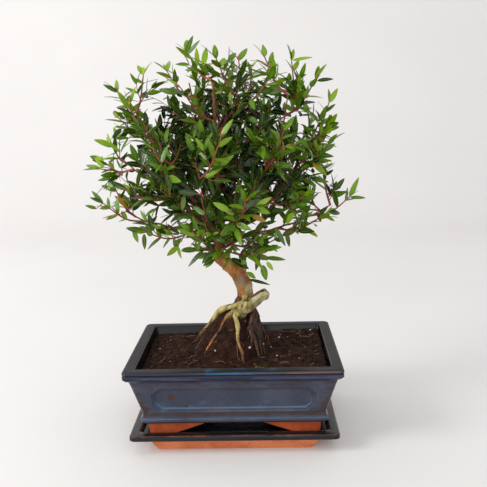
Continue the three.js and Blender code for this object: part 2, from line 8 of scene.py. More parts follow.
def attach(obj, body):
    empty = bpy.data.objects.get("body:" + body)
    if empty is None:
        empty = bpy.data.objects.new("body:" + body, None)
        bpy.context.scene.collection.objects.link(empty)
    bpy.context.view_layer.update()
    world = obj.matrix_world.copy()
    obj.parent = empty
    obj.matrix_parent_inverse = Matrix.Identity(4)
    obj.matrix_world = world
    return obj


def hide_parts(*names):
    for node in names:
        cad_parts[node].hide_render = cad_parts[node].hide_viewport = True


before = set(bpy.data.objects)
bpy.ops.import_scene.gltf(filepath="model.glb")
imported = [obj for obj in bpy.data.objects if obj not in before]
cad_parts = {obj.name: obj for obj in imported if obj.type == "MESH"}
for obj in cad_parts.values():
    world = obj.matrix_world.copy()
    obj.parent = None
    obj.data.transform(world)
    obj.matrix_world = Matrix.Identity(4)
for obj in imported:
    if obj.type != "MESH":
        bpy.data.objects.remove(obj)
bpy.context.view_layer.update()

# Saucer
# A press-moulded clay tray: a broad rim, a ledge that the pot's feet stand on and a basin that catches the
# drained water. The rim and the inside are dipped in dark glaze, and the sloping outside is left bare.
# Every section works in millimetres, and finish_piece turns them into metres.

MM = 0.001
CORNER_SEGMENTS = 6

SAUCER_WIDTH = 193
SAUCER_DEPTH = 143
SAUCER_BASE_CORNER = 3.6
SAUCER_BARE_TO = 11  # the outside is bare clay up to this height

# Each ring is its inset from the outer edge, its height, and how the glaze lies on it: 1 is where it ran
# thin over an edge, and -1 is where it gathers thick, which also brings in a painted reflection. A fourth
# value is how much further in its two ends are.
SAUCER_RINGS = [
    (14, 0, 0, 9.5),
    (10.5, SAUCER_BARE_TO, 0.4, 5.5),
    (2, 13.4, 0.4),
    (0, 14.6, 0.2),
    (0, 18.2, 0.5),
    (1, 19.3, 1),
    (3, 19.5, 0.1),
    (8, 19.4, 0.1),
    (9.6, 18.9, 0.6),
    (10.6, 14.9, -0.8),
    (20.4, 14.6, 0.3),
    (22, 13.4, 0.4),
    (26.4, 6, -0.5),
    (28, 5, -1),
]


def extrude_rim(bm, edges):
    """Doubles a row of edges in place, and gives the new edges and the new vertices, ready to be moved."""
    made = bmesh.ops.extrude_edge_only(bm, edges=edges)["geom"]
    grown = [part for part in made if isinstance(part, bmesh.types.BMEdge)]
    return grown, [part for part in made if isinstance(part, bmesh.types.BMVert)]


def ring_vessel(width, depth, corner, rings):
    """A closed vessel raised ring by ring from a flat bottom with round corners."""

    def halves(inset, shorter=0):
        return width / 2 - inset - shorter, depth / 2 - inset

    bm = bmesh.new()
    flow = bm.verts.layers.float.new("flow")
    inset, height, lie, *shorter = rings[0]
    half = halves(inset, *shorter)
    quarters = ((1, 1), (-1, 1), (-1, -1), (1, -1))
    corners = [bm.verts.new((x * half[0], y * half[1], height)) for x, y in quarters]
    bm.faces.new(corners)
    bmesh.ops.bevel(
        bm, geom=corners, offset=corner, offset_type="OFFSET", segments=CORNER_SEGMENTS,
        profile=0.5, affect="VERTICES", material=-1,
    )
    for vert in bm.verts:
        vert[flow] = lie
    edges = list(bm.edges)
    for inset, level, lie, *shorter in rings[1:]:
        edges, ring = extrude_rim(bm, edges)
        grown = halves(inset, *shorter)
        bmesh.ops.scale(bm, vec=(grown[0] / half[0], grown[1] / half[1], 1), verts=ring)
        bmesh.ops.translate(bm, vec=(0, 0, level - height), verts=ring)
        for vert in ring:
            vert[flow] = lie
        half = grown
        height = level
    bmesh.ops.contextual_create(bm, geom=edges)
    bmesh.ops.recalc_face_normals(bm, faces=bm.faces)
    return bm


def finish_piece(name, bm, materials):
    """Turns a bmesh in millimetres into a smooth piece in metres."""
    bmesh.ops.recalc_face_normals(bm, faces=bm.faces)
    bmesh.ops.scale(bm, vec=(MM, MM, MM), verts=bm.verts)
    for face in bm.faces:
        face.smooth = True
    mesh = bpy.data.meshes.new(name)
    bm.to_mesh(mesh)
    bm.free()
    for material in materials:
        mesh.materials.append(material)
    piece = bpy.data.objects.new(name, mesh)
    bpy.context.scene.collection.objects.link(piece)
    return piece


def soften_edges(piece, width, from_angle):
    """Rounds the edges that bend by more than an angle, as glaze does."""
    bevel = piece.modifiers.new("soft_edges", "BEVEL")
    bevel.width = width * MM
    bevel.segments = 3
    bevel.limit_method = "ANGLE"
    bevel.angle_limit = math.radians(from_angle)
    bevel.harden_normals = True


def colour(red, green, blue):
    """A colour as a screen shows it, 0 to 255, in the linear values that shaders take."""
    shares = [value / 255 for value in (red, green, blue)]
    linear = [s / 12.92 if s <= 0.04045 else ((s + 0.055) / 1.055) ** 2.4 for s in shares]
    return (*linear, 1)


def place(tree, kind, inputs=None, **settings):
    """Adds a shader node. Each input is a plain value or the output of another node."""
    node = tree.nodes.new("ShaderNode" + kind)
    for name, value in settings.items():
        setattr(node, name, value)
    for name, value in (inputs or {}).items():
        if isinstance(value, bpy.types.NodeSocket):
            tree.links.new(value, node.inputs[name])
        else:
            node.inputs[name].default_value = value
    return node


def blend(tree, share, first, second):
    """Mixes two colours."""
    return place(tree, "Mix", {0: share, 6: first, 7: second}, data_type="RGBA").outputs[2]


def sums(tree, operation, first, second=0.0, third=0.0):
    """A sum or product of values."""
    return place(tree, "Math", {0: first, 1: second, 2: third}, operation=operation).outputs[0]


def tint(tree, tone, mask, amount, shade):
    """Lays a shade over a tone where a mask is, at most by an amount."""
    return blend(tree, sums(tree, "MULTIPLY", mask, amount), tone, shade)


def own_value(tree, name):
    """A value that the piece's own vertices carry."""
    return place(tree, "Attribute", attribute_name=name).outputs["Fac"]


def step_up(tree, value, low, high):
    """0 below low and 1 above high, with a smooth rise between."""
    inputs = {"Value": value, "From Min": low, "From Max": high}
    return place(tree, "MapRange", inputs, interpolation_type="SMOOTHSTEP").outputs["Result"]


def grain(tree, points, scale, detail=3.0, stretch=(1, 1, 1)):
    """Cloudy noise from 0 to 1, finer with scale, drawn out along an axis by a small stretch."""
    turned = place(tree, "Mapping", {"Vector": points, "Scale": stretch}).outputs["Vector"]
    inputs = {"Vector": turned, "Scale": scale, "Detail": detail, "Roughness": 0.6}
    return place(tree, "TexNoise", inputs).outputs["Fac"]


def start_group(name, inputs, outputs):
    """An empty shader node group with its sockets, its input node and its output node."""
    group = bpy.data.node_groups.new(name, "ShaderNodeTree")
    for label, kind, value in inputs:
        socket = group.interface.new_socket(name=label, in_out="INPUT", socket_type="NodeSocket" + kind)
        socket.default_value = value
    for label, kind in outputs:
        group.interface.new_socket(name=label, in_out="OUTPUT", socket_type="NodeSocket" + kind)
    return group, group.nodes.new("NodeGroupInput"), group.nodes.new("NodeGroupOutput")


def start_material(name):
    """A node material with its Principled shader and its Object coordinates."""
    material = bpy.data.materials.new(name)
    material.use_nodes = True
    tree = material.node_tree
    points = place(tree, "TexCoord").outputs["Object"]
    return material, tree, tree.nodes["Principled BSDF"], points


def glaze_flow_group():
    """Dipped glaze: cloudy in the body, brown where it ran thin, speckled, and another blue where it gathers
    thick, which is partly a painted reflection.
    """
    group, start, end = start_group(
        "glaze_flow",
        [
            ("Body", "Color", colour(68, 72, 88)),
            ("Cloud", "Color", colour(56, 60, 75)),
            ("Thin", "Color", colour(60, 47, 45)),
            ("Pooled and reflection", "Color", colour(70, 92, 118)),
            ("Thinning", "Float", 0.5),
        ],
        [("Colour", "Color"), ("Roughness", "Float"), ("Height", "Float")],
    )
    points = place(group, "TexCoord").outputs["Object"]
    flow = own_value(group, "flow")
    clouds = grain(group, points, 28, 4.0)
    ripples = grain(group, points, 150, 3.0, (0.35, 0.35, 1))
    specks = step_up(group, grain(group, points, 620, 2.0), 0.66, 0.72)
    lie = sums(group, "ADD", flow, sums(group, "MULTIPLY_ADD", ripples, 1.5, -0.75))
    thin = step_up(group, sums(group, "ADD", lie, start.outputs["Thinning"]), 0.8, 1.4)
    # Where the glaze gathers thick, its colour is partly a painted reflection.
    pooled_and_reflection = step_up(group, sums(group, "MULTIPLY", lie, -1.0), 0.25, 0.9)
    body = blend(group, step_up(group, clouds, 0.35, 0.65), start.outputs["Body"], start.outputs["Cloud"])
    body = blend(group, pooled_and_reflection, body, start.outputs["Pooled and reflection"])
    body = blend(group, thin, body, start.outputs["Thin"])
    body = tint(group, body, specks, 0.6, colour(26, 20, 22))
    group.links.new(body, end.inputs["Colour"])
    group.links.new(sums(group, "MULTIPLY_ADD", clouds, 0.14, 0.14), end.inputs["Roughness"])
    group.links.new(sums(group, "MULTIPLY", ripples, 0.5), end.inputs["Height"])
    return group


glaze_flow = glaze_flow_group()


def mottle_group():
    """Uneven earthy or woody colour in two tones with darker grains and a rough surface."""
    group, start, end = start_group(
        "mottle",
        [
            ("Points", "Vector", (0, 0, 0)),
            ("Scale", "Float", 60.0),
            ("Light", "Color", colour(200, 110, 70)),
            ("Dark", "Color", colour(150, 80, 50)),
            ("Grain", "Color", colour(60, 40, 30)),
            ("Grains", "Float", 0.3),
        ],
        [("Colour", "Color"), ("Height", "Float")],
    )
    points = start.outputs["Points"]
    scale = start.outputs["Scale"]
    broad = grain(group, points, scale, 5.0)
    fine = grain(group, points, sums(group, "MULTIPLY", scale, 7.0), 4.0)
    tone = blend(group, step_up(group, broad, 0.36, 0.64), start.outputs["Dark"], start.outputs["Light"])
    grains = sums(group, "MULTIPLY", step_up(group, fine, 0.56, 0.7), start.outputs["Grains"])
    group.links.new(blend(group, grains, tone, start.outputs["Grain"]), end.inputs["Colour"])
    group.links.new(sums(group, "ADD", broad, fine), end.inputs["Height"])
    return group


mottle = mottle_group()


def add_bump(tree, shader, height, strength, distance):
    """Raises the surface by a height, in metres at full strength."""
    inputs = {"Height": height, "Strength": strength, "Distance": distance}
    tree.links.new(place(tree, "Bump", inputs).outputs["Normal"], shader.inputs["Normal"])


def saucer_glaze_material():
    """Near-black glaze that turns brown on the edges."""
    material, tree, shader, _ = start_material("dark_saucer_glaze")
    inputs = {
        "Body": colour(31, 29, 32),
        "Cloud": colour(24, 23, 28),
        "Thin": colour(104, 66, 46),
        # Its dark blue where the glaze gathers, in the basin and at the foot of the rim, is partly a painted
        # reflection.
        "Pooled and reflection": colour(20, 24, 44),
        "Thinning": 0.25,
    }
    flow = place(tree, "Group", inputs, node_tree=glaze_flow).outputs
    tree.links.new(flow["Colour"], shader.inputs["Base Color"])
    tree.links.new(flow["Roughness"], shader.inputs["Roughness"])
    shader.inputs["Specular IOR Level"].default_value = 0.3
    add_bump(tree, shader, flow["Height"], 0.25, 0.0006)
    return material


def earth_material(name, scale, light, dark, grains, rough):
    """A plain matt material of the mottled kind."""
    material, tree, shader, points = start_material(name)
    inputs = {"Points": points, "Scale": scale, "Light": light, "Dark": dark, "Grain": grains}
    earth = place(tree, "Group", inputs, node_tree=mottle).outputs
    tree.links.new(earth["Colour"], shader.inputs["Base Color"])
    shader.inputs["Roughness"].default_value = rough
    add_bump(tree, shader, earth["Height"], 0.4, 0.0005)
    return material


saucer_glaze = saucer_glaze_material()
bare_clay = earth_material(
    "bare_clay", 45.0, colour(218, 130, 84), colour(197, 105, 62), colour(122, 62, 38), 0.8
)

saucer_mesh = ring_vessel(SAUCER_WIDTH, SAUCER_DEPTH, SAUCER_BASE_CORNER, SAUCER_RINGS)
for face in saucer_mesh.faces:
    if face.normal.z < 0 and max(vert.co.z for vert in face.verts) <= SAUCER_BARE_TO:
        face.material_index = 1
saucer_tray = finish_piece("saucer_tray", saucer_mesh, [saucer_glaze, bare_clay])
soften_edges(saucer_tray, 0.45, 14)
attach(saucer_tray, "root")
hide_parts("saucer")

# Pot
# A slip-cast body with flared walls, a stepped rim, a bead above its feet and a sunken panel with cut
# corners in each wall. It is dipped in slate-blue glaze down to the bead, and its four feet stay bare clay.
# Two round holes in the floor let the water out.

POT_WIDTH = 200
POT_DEPTH = 150
POT_TOP = 82
POT_UNDERSIDE = 27
POT_BASE_CORNER = 3.4
POT_FLOOR = 33
WALL_LOW = (14.9, 36.6)  # inset and height
WALL_HIGH = (6.6, 66)
PANEL_LOW = 37.9
PANEL_HIGH = 63.8
PANEL_CUT = 7.5
FRONT_PANEL_HALF = 75
END_PANEL_HALF = 50.5
DRAIN_OFFSET = 38
DRAIN_RADIUS = 7
RUST_SPOTS = [((-57.2, -62.7, 53.8), 3.4), ((-44.1, -59.7, 43.8), 1.8)]  # place and radius

# Where the glaze gathers thick, as on the top of the bead, its lighter blue is partly a painted highlight.
POT_RINGS = [
    (19, POT_UNDERSIDE, 1),
    (14.4, 27.2, 1),
    (13.2, 28.7, 0.9),
    (13.2, 31.6, -0.9),
    (14.7, 33.6, 0.7),
    (*WALL_LOW, 0.9),
    (*WALL_HIGH, 0.4),
    (5, 70.4, 0.6),
    (3.6, 72.2, 0.3),
    (1.6, 72.9, -0.3),
    (0.2, 74.6, -0.7),
    (0.2, 77, -0.5),
    (1, 78.2, 0.8),
    (0, 79.4, 0.1),
    (0.6, 81.2, 0.5),
    (2.2, POT_TOP, 0.2),
    (9.6, POT_TOP, 0.3),
    (10.8, 80.8, 0.6),
    (12.5, 74, 0),
    (18.5, 56, 0),
    (25, 35, 0),
    (27, POT_FLOOR, 0),
]

# Each step into a panel is how far in, how deep, and how the glaze lies at the upper and the lower edge. The
# brown at the upper edges is partly a painted shade under the overhang, and the light blue at the lower
# edges is partly a painted highlight.
PANEL_STEPS = [
    (0.9, -0.9, 0.9, -0.4),
    (1.7, -0.1, 0.2, -0.1),
    (1.2, -1, 0.6, -1),
    (1.2, -0.05, 0, -0.3),
]


def wall_face(bm, side):
    """The flat face of the wall that looks to one side."""
    middle = (WALL_LOW[1] + WALL_HIGH[1]) / 2
    level = [face for face in bm.faces if abs(face.calc_center_median().z - middle) < 1]
    return max(level, key=lambda face: (round(face.normal.dot(side), 1), face.calc_area()))


def sink_panel(bm, quarter, half):
    """Presses the panel with cut corners into one wall, the front for quarter 0."""
    flow = bm.verts.layers.float["flow"]
    turn = Matrix.Rotation(quarter * math.pi / 2, 3, "Z")
    across = turn @ Vector((1, 0, 0))
    face = wall_face(bm, turn @ Vector((0, -1, 0)))
    rise = across.cross(face.normal) * -1
    foot = [vert.co.copy() for vert in face.verts if vert.co.z < PANEL_LOW]
    centre = (foot[0] + foot[1]) / 2
    bmesh.ops.inset_individual(bm, faces=[face], thickness=1, depth=0)
    corners = list(face.verts)
    for vert in corners:
        height = PANEL_LOW if vert.co.z < (PANEL_LOW + PANEL_HIGH) / 2 else PANEL_HIGH
        side = half if (vert.co - centre).dot(across) > 0 else -half
        vert.co = centre + across * side + rise * ((height - centre.z) / rise.z)
        vert[flow] = 0.1
    middle = face.calc_center_median()
    bmesh.ops.bevel(
        bm, geom=corners, offset=PANEL_CUT, offset_type="OFFSET", segments=1, profile=0.5,
        affect="VERTICES", material=-1,
    )
    face = min(bm.faces, key=lambda other: (other.calc_center_median() - middle).length)
    for thickness, depth, lie_above, lie_below in PANEL_STEPS:
        face.normal_update()
        bmesh.ops.inset_individual(bm, faces=[face], thickness=thickness, depth=depth)
        for vert in face.verts:
            vert[flow] = lie_above if (vert.co - middle).dot(rise) > 0 else lie_below


def sweep(bm, sections):
    """Draws a solid through a row of sections, each a loop of as many points."""
    loop = [bm.verts.new(point) for point in sections[0]]
    edges = list(bm.faces.new(loop).edges)
    rows = [loop]
    for section in sections[1:]:
        numbers = {tuple(vert.co): number for number, vert in enumerate(loop)}
        edges, grown = extrude_rim(bm, edges)
        loop = sorted(grown, key=lambda vert: numbers[tuple(vert.co)])
        for vert, point in zip(loop, section):
            vert.co = point
        rows.append(loop)
    bmesh.ops.contextual_create(bm, geom=edges)
    return rows


FOOT_BOTTOM = 15
FOOT_THICKNESS = 14
FOOT_OUTSIDE = (81, 56)
FOOT_CORNER = 6
FOOT_LEAN = 0.8
FOOT_TOP = POT_UNDERSIDE + 1.6
FOOT_HALVES = (58, 44)  # how far a foot reaches from its corner along the front and along the end
FOOT_FLAT = 25  # how far it stands level from its corner
ARCH_SHOULDER = (6, 3)
ARCH_STATIONS = 10
FOOT_CORNER_STATIONS = 8


def arch_points(reach):
    """The arch's underside, from its crown down to the level part of the foot."""
    points = []
    for number in range(ARCH_STATIONS + 1):
        share = number / ARCH_STATIONS
        out = 2 * share * (1 - share) * ARCH_SHOULDER[0] + share**2 * (reach - FOOT_FLAT)
        crown = (1 - share) ** 2 * POT_UNDERSIDE
        shoulder = 2 * share * (1 - share) * (POT_UNDERSIDE - ARCH_SHOULDER[1])
        points.append((out, crown + shoulder + share**2 * FOOT_BOTTOM))
    return points


def foot_sections():
    """The front right foot's cross-sections, from the front arch round the corner to the end arch."""
    x, y = FOOT_OUTSIDE
    spots = [(x - FOOT_HALVES[0] + out, -y, low, (0, 1)) for out, low in arch_points(FOOT_HALVES[0])]
    for number in range(FOOT_CORNER_STATIONS + 1):
        turn = number / FOOT_CORNER_STATIONS * math.pi / 2
        sine, cosine = math.sin(turn), math.cos(turn)
        corner = (x - FOOT_CORNER + FOOT_CORNER * sine, -y + FOOT_CORNER - FOOT_CORNER * cosine)
        spots.append((*corner, FOOT_BOTTOM, (-sine, cosine)))
    end_arch = reversed(arch_points(FOOT_HALVES[1]))
    spots += [(x, -y + FOOT_HALVES[1] - out, low, (-1, 0)) for out, low in end_arch]
    inner = (x - FOOT_THICKNESS, -y + FOOT_THICKNESS)
    sections = []
    for x, y, low, inward in spots:
        lean = FOOT_LEAN * (POT_UNDERSIDE - low) / (POT_UNDERSIDE - FOOT_BOTTOM)
        back = (min(x, inner[0]), max(y, inner[1]))
        sections.append([
            Vector((x + inward[0] * lean, y + inward[1] * lean, low)),
            Vector((x, y, FOOT_TOP)),
            Vector((*back, FOOT_TOP)),
            Vector((*back, low)),
        ])
    return sections


def pot_glaze_material():
    """Slate-blue glaze with cobalt streaks on the rim, a rusty line at its right and two rust spots."""
    material, tree, shader, points = start_material("slate_blue_glaze")
    flow = place(tree, "Group", node_tree=glaze_flow).outputs
    parts = place(tree, "SeparateXYZ", {"Vector": points}).outputs
    x, y, z = parts["X"], parts["Y"], parts["Z"]

    def band(value, low, high, soft):
        """1 between two places in millimetres, with soft ends."""
        rise = step_up(tree, value, (low - soft) * MM, low * MM)
        return sums(tree, "SUBTRACT", rise, step_up(tree, value, high * MM, (high + soft) * MM))

    def together(*masks):
        whole = masks[0]
        for mask in masks[1:]:
            whole = sums(tree, "MULTIPLY", whole, mask)
        return whole

    streaks = step_up(tree, grain(tree, points, 60, 3.0, (0.5, 1, 6)), 0.42, 0.56)
    front = step_up(tree, sums(tree, "MULTIPLY", y, -1.0), 0.0655, 0.0675)
    on_top = step_up(tree, z, 0.0808, 0.0818)
    # The inner walls above the soil are painted near black as shade.
    inside = together(band(z, 71, 80.8, 0.4), band(x, -89.6, 89.6, 0.4), band(y, -64.6, 64.6, 0.4))
    nose = together(front, band(z, 73.3, 77.2, 0.6))
    layers = [
        (on_top, 0.85, colour(42, 38, 35)),
        (together(front, on_top, band(x, -34, 50, 30)), 0.8, colour(16, 20, 24)),
        # Painted shade inside the rim.
        (inside, 1.0, colour(7, 5, 4)),
        (together(front, band(z, 78.8, 81.2, 0.4)), 0.75, colour(34, 38, 46)),  # the rim's front edge
        (together(front, band(z, 79.5, 90, 0.8), band(x, -22, 36, 4), streaks), 1.0, colour(26, 74, 108)),
        (nose, 0.75, colour(52, 52, 76)),
        (together(nose, streaks, band(z, 74.5, 76.5, 0.6)), 1.0, colour(30, 34, 52)),
        # The groove over the nose is darkened with painted shade.
        (together(front, band(z, 77.4, 78.8, 0.4)), 0.8, colour(30, 24, 30)),  # the groove over the nose
        (together(front, band(z, 79.4, 80.6, 0.5), band(x, 52, 94, 6)), 0.75, colour(98, 56, 48)),
        (together(front, band(z, 72.2, 73.2, 0.4)), 0.8, colour(22, 22, 32)),  # the shade under the nose
    ]
    for spot, size in RUST_SPOTS:
        inputs = {0: points, 1: Vector(spot) * MM}
        away = place(tree, "VectorMath", inputs, operation="DISTANCE").outputs["Value"]
        ragged = sums(tree, "MULTIPLY_ADD", grain(tree, points, 500), 0.003, away)
        edge = (-(size + 2.2) * MM, -(size + 0.8) * MM)
        layers.append((step_up(tree, sums(tree, "MULTIPLY", ragged, -1.0), *edge), 0.9, colour(76, 44, 40)))
    tone = flow["Colour"]
    for mask, amount, shade in layers:
        tone = tint(tree, tone, mask, amount, shade)
    tree.links.new(tone, shader.inputs["Base Color"])
    worn = sums(tree, "MULTIPLY_ADD", on_top, 0.35, flow["Roughness"])
    tree.links.new(worn, shader.inputs["Roughness"])
    shader.inputs["Specular IOR Level"].default_value = 0.2
    add_bump(tree, shader, flow["Height"], 0.3, 0.0006)
    return material


def bore_drain_holes(piece):
    """Cuts the two drain holes through the pot's floor."""
    bm = bmesh.new()
    for side in (-1, 1):
        middle = Matrix.Translation((side * DRAIN_OFFSET, 0, 30))
        bmesh.ops.create_cone(
            bm, cap_ends=True, segments=32, radius1=DRAIN_RADIUS, radius2=DRAIN_RADIUS, depth=12,
            matrix=middle,
        )
    drills = finish_piece("drills", bm, [])
    cut = piece.modifiers.new("drain_holes", "BOOLEAN")
    cut.object = drills
    cut.solver = "EXACT"
    bored = piece.evaluated_get(bpy.context.evaluated_depsgraph_get())
    piece.data = bpy.data.meshes.new_from_object(bored)
    piece.modifiers.clear()
    bpy.data.objects.remove(drills)


pot_glaze = pot_glaze_material()
pot_mesh = ring_vessel(POT_WIDTH, POT_DEPTH, POT_BASE_CORNER, POT_RINGS)
for quarter, half in enumerate((FRONT_PANEL_HALF, END_PANEL_HALF, FRONT_PANEL_HALF, END_PANEL_HALF)):
    sink_panel(pot_mesh, quarter, half)
for side_x, side_y in ((1, 1), (-1, 1), (-1, -1), (1, -1)):
    rows = sweep(pot_mesh, foot_sections())
    foot = {vert for row in rows for vert in row}
    bmesh.ops.scale(pot_mesh, vec=(side_x, side_y, 1), verts=list(foot))
    for face in {face for vert in foot for face in vert.link_faces}:
        face.material_index = 1
# The feet's clay is darker and more saturated than the saucer's; the darkness is partly a painted shade
# under the pot.
shaded_foot_clay = earth_material(
    "shaded_foot_clay", 45.0, colour(192, 90, 42), colour(164, 68, 28), colour(96, 42, 24), 0.8
)
pot_body = finish_piece("pot_body", pot_mesh, [pot_glaze, shaded_foot_clay])
bore_drain_holes(pot_body)
soften_edges(pot_body, 0.45, 14)
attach(pot_body, "root")
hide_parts("pot")

# Drain meshes
# Two squares of black plastic mesh lie over the holes in the pot's floor, under the soil.

MESH_PITCH = 2.4


def drain_mesh_material():
    """Black plastic with the open squares of a mesh."""
    material, tree, shader, points = start_material("black_mesh_plastic")
    parts = place(tree, "SeparateXYZ", {"Vector": points}).outputs
    squares = []
    for axis in ("X", "Y"):
        wave = sums(tree, "SINE", sums(tree, "MULTIPLY", parts[axis], math.tau / (MESH_PITCH * MM)))
        squares.append(step_up(tree, wave, -0.3, 0.0))
    holes = sums(tree, "MULTIPLY", squares[0], squares[1])
    scuffs = step_up(tree, grain(tree, points, 400), 0.4, 0.7)
    tone = blend(tree, scuffs, colour(24, 24, 25), colour(38, 38, 40))
    tree.links.new(blend(tree, holes, tone, colour(8, 6, 5)), shader.inputs["Base Color"])
    shader.inputs["Roughness"].default_value = 0.5
    add_bump(tree, shader, sums(tree, "MULTIPLY", holes, -1.0), 0.8, 0.0004)
    return material


mesh_plastic = drain_mesh_material()
for name in ("drain_mesh_left", "drain_mesh_right"):
    mesh_node = bpy.data.objects[name]
    mesh_node.data.materials.clear()
    mesh_node.data.materials.append(mesh_plastic)

# Soil
# Dark potting soil, heaped up round the roots, with bark crumbs and a few white grains of perlite.
# It fills the pot to about 8 mm below the rim, and is built as a block with a crumbly top and loose pieces.

SOIL_LEVEL = 74
SOIL_UNDERSIDE = 34.6
SOIL_EDGE = (POT_WIDTH / 2 - 12.8, POT_DEPTH / 2 - 12.8)
SOIL_CORNER = 4
SOIL_TAPER = 12.4  # the soil's underside is this much further in than its top
SOIL_CELL = 1.5
MOUND_CENTRE = (2, 13)
MOUND_REACH = (46, 33, 40)  # to the left, to the right, and to front and back
MOUND_HEIGHT = 42
CRUMBS = 620
BARK_CHIPS = 210
PERLITE_SPOTS = [(-18.6, -16.8), (36, 13.1), (44.9, 38.2), (41.3, -13.8), (79, 56), (28, -2), (15, -17)]
FINE_PERLITE = 8


def soil_height(x, y):
    """The height of the soil without its crumbs."""
    reach = MOUND_REACH[0] if x < MOUND_CENTRE[0] else MOUND_REACH[1]
    away = math.hypot((x - MOUND_CENTRE[0]) / reach, (y - MOUND_CENTRE[1]) / MOUND_REACH[2])
    mound = MOUND_HEIGHT * max(0, 1 - away**1.9) ** 1.1
    slope = 2 * x * 2 / POT_WIDTH + 1.6 * y * 2 / POT_DEPTH
    ripple = 0.7 * math.sin(x / 9 + 1) * math.cos(y / 11) + 0.5 * math.sin(x / 5 - y / 7)
    return SOIL_LEVEL + mound + slope + ripple


def crumbled_height(x, y):
    """The height of the soil with its crumbs and hollows."""
    lumps = noise.fractal(Vector((x, y, 0)) / 7, 1.0, 2.0, 4)
    fine = noise.noise(Vector((x, y, 5)) / 1.6)
    return soil_height(x, y) + 1.1 * lumps + 0.5 * fine


def soil_block():
    """The soil as one closed block with a crumbly top."""
    bm = bmesh.new()
    columns = [round(2 * edge / SOIL_CELL) for edge in SOIL_EDGE]
    bmesh.ops.create_grid(bm, x_segments=columns[0], y_segments=columns[1], size=1)
    bmesh.ops.scale(bm, vec=(*SOIL_EDGE, 1), verts=bm.verts)
    for vert in bm.verts:
        side = (math.copysign(1, vert.co.x), math.copysign(1, vert.co.y))
        corner = Vector([s * (edge - SOIL_CORNER) for s, edge in zip(side, SOIL_EDGE)])
        past = [s * (value - c) for s, value, c in zip(side, vert.co.xy, corner)]
        if min(past) > 0:
            share = max(past) / math.hypot(*past)
            vert.co.x = corner.x + side[0] * past[0] * share
            vert.co.y = corner.y + side[1] * past[1] * share
        vert.co.z = crumbled_height(vert.co.x, vert.co.y)
    edges, lower = extrude_rim(bm, [edge for edge in bm.edges if edge.is_boundary])
    shrink = [(edge - SOIL_TAPER) / edge for edge in SOIL_EDGE]
    bmesh.ops.scale(bm, vec=(*shrink, 0), verts=lower)
    bmesh.ops.translate(bm, vec=(0, 0, SOIL_UNDERSIDE), verts=lower)
    bmesh.ops.contextual_create(bm, geom=edges)
    return bm


def dice(seed):
    """Returns a function that draws evenly between two values, the same row of draws for the same seed."""
    state = seed

    def draw(low, high):
        nonlocal state
        state = (state * 1664525 + 1013904223) % 4294967296
        return low + (high - low) * state / 4294967296

    return draw


def scatter_spot(draw, margin=3):
    """A random spot on the soil."""
    x = draw(margin - SOIL_EDGE[0], SOIL_EDGE[0] - margin)
    y = draw(margin - SOIL_EDGE[1], SOIL_EDGE[1] - margin)
    return x, y


def add_crumb(bm, spot, size, flat, draw, tone):
    """One crumb, half sunk in the soil. The tone is 0 for dark soil, 0.5 for bark and 1 for perlite."""
    tones = bm.verts.layers.float["tone"]
    made = bmesh.ops.create_icosphere(bm, subdivisions=1, radius=size / 2)["verts"]
    shape = Matrix.Diagonal((draw(0.8, 1.6), draw(0.7, 1.1), flat, 1))
    turn = Matrix.Rotation(draw(0, math.tau), 4, "Z") @ Matrix.Rotation(draw(-0.7, 0.7), 4, "X")
    height = crumbled_height(*spot) + size * flat * 0.2
    bmesh.ops.transform(bm, matrix=Matrix.Translation((*spot, height)) @ turn @ shape, verts=made)
    for vert in made:
        vert[tones] = tone


def soil_crumbs(draw):
    """The loose crumbs, chips and grains on the soil."""
    bm = bmesh.new()
    bm.verts.layers.float.new("tone")
    for number in range(CRUMBS):
        add_crumb(bm, scatter_spot(draw), draw(1, 3.2), draw(0.4, 0.9), draw, draw(0, 0.35))
    for number in range(BARK_CHIPS):
        add_crumb(bm, scatter_spot(draw), draw(1.6, 4.4), draw(0.25, 0.6), draw, draw(0.34, 0.64))
    for spot in PERLITE_SPOTS:
        add_crumb(bm, spot, draw(1.8, 2.8), 0.8, draw, 1)
    for number in range(FINE_PERLITE):
        add_crumb(bm, scatter_spot(draw), draw(0.7, 1.3), 0.8, draw, 0.95)
    return bm


def soil_material(name, with_tone):
    """Near-black moist earth. Loose pieces take their own tone from bark brown to perlite white."""
    material, tree, shader, points = start_material(name)
    inputs = {
        "Points": points,
        "Scale": 150.0,
        "Light": colour(55, 33, 23),
        "Dark": colour(30, 17, 11),
        "Grain": colour(12, 7, 7),
        "Grains": 0.6,
    }
    earth = place(tree, "Group", inputs, node_tree=mottle).outputs
    tone = earth["Colour"]
    if with_tone:
        own = own_value(tree, "tone")
        tone = blend(tree, step_up(tree, own, 0.3, 0.7), tone, colour(96, 62, 42))
        tone = blend(tree, step_up(tree, own, 0.8, 0.9), tone, colour(214, 208, 196))
    tree.links.new(tone, shader.inputs["Base Color"])
    shader.inputs["Roughness"].default_value = 0.95
    shader.inputs["Specular IOR Level"].default_value = 0.15
    add_bump(tree, shader, earth["Height"], 0.6, 0.0008)
    return material


soil_bed = finish_piece("soil_bed", soil_block(), [soil_material("moist_soil", False)])
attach(soil_bed, "root")
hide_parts("soil")

crumbs = finish_piece(
    "soil_crumbs_and_perlite", soil_crumbs(dice(31)), [soil_material("loose_crumbs", True)]
)
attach(crumbs, "root")

# Dry fibres
# Straw-coloured fibres and fine dead roots that came up with the soil and lie loose on it.
# Each is a thin tapering tube that follows the crumbs under it.

FIBRES = 46
FIBRE_RADII = [0.32, 0.3, 0.24, 0.12]
FIBRE_REACH = (82, 57)  # how far from the pot's middle a fibre may lie
WIGGLE_SEED = 9

noise.seed_set(WIGGLE_SEED)  # without a seed, noise_vector takes its offsets from the clock

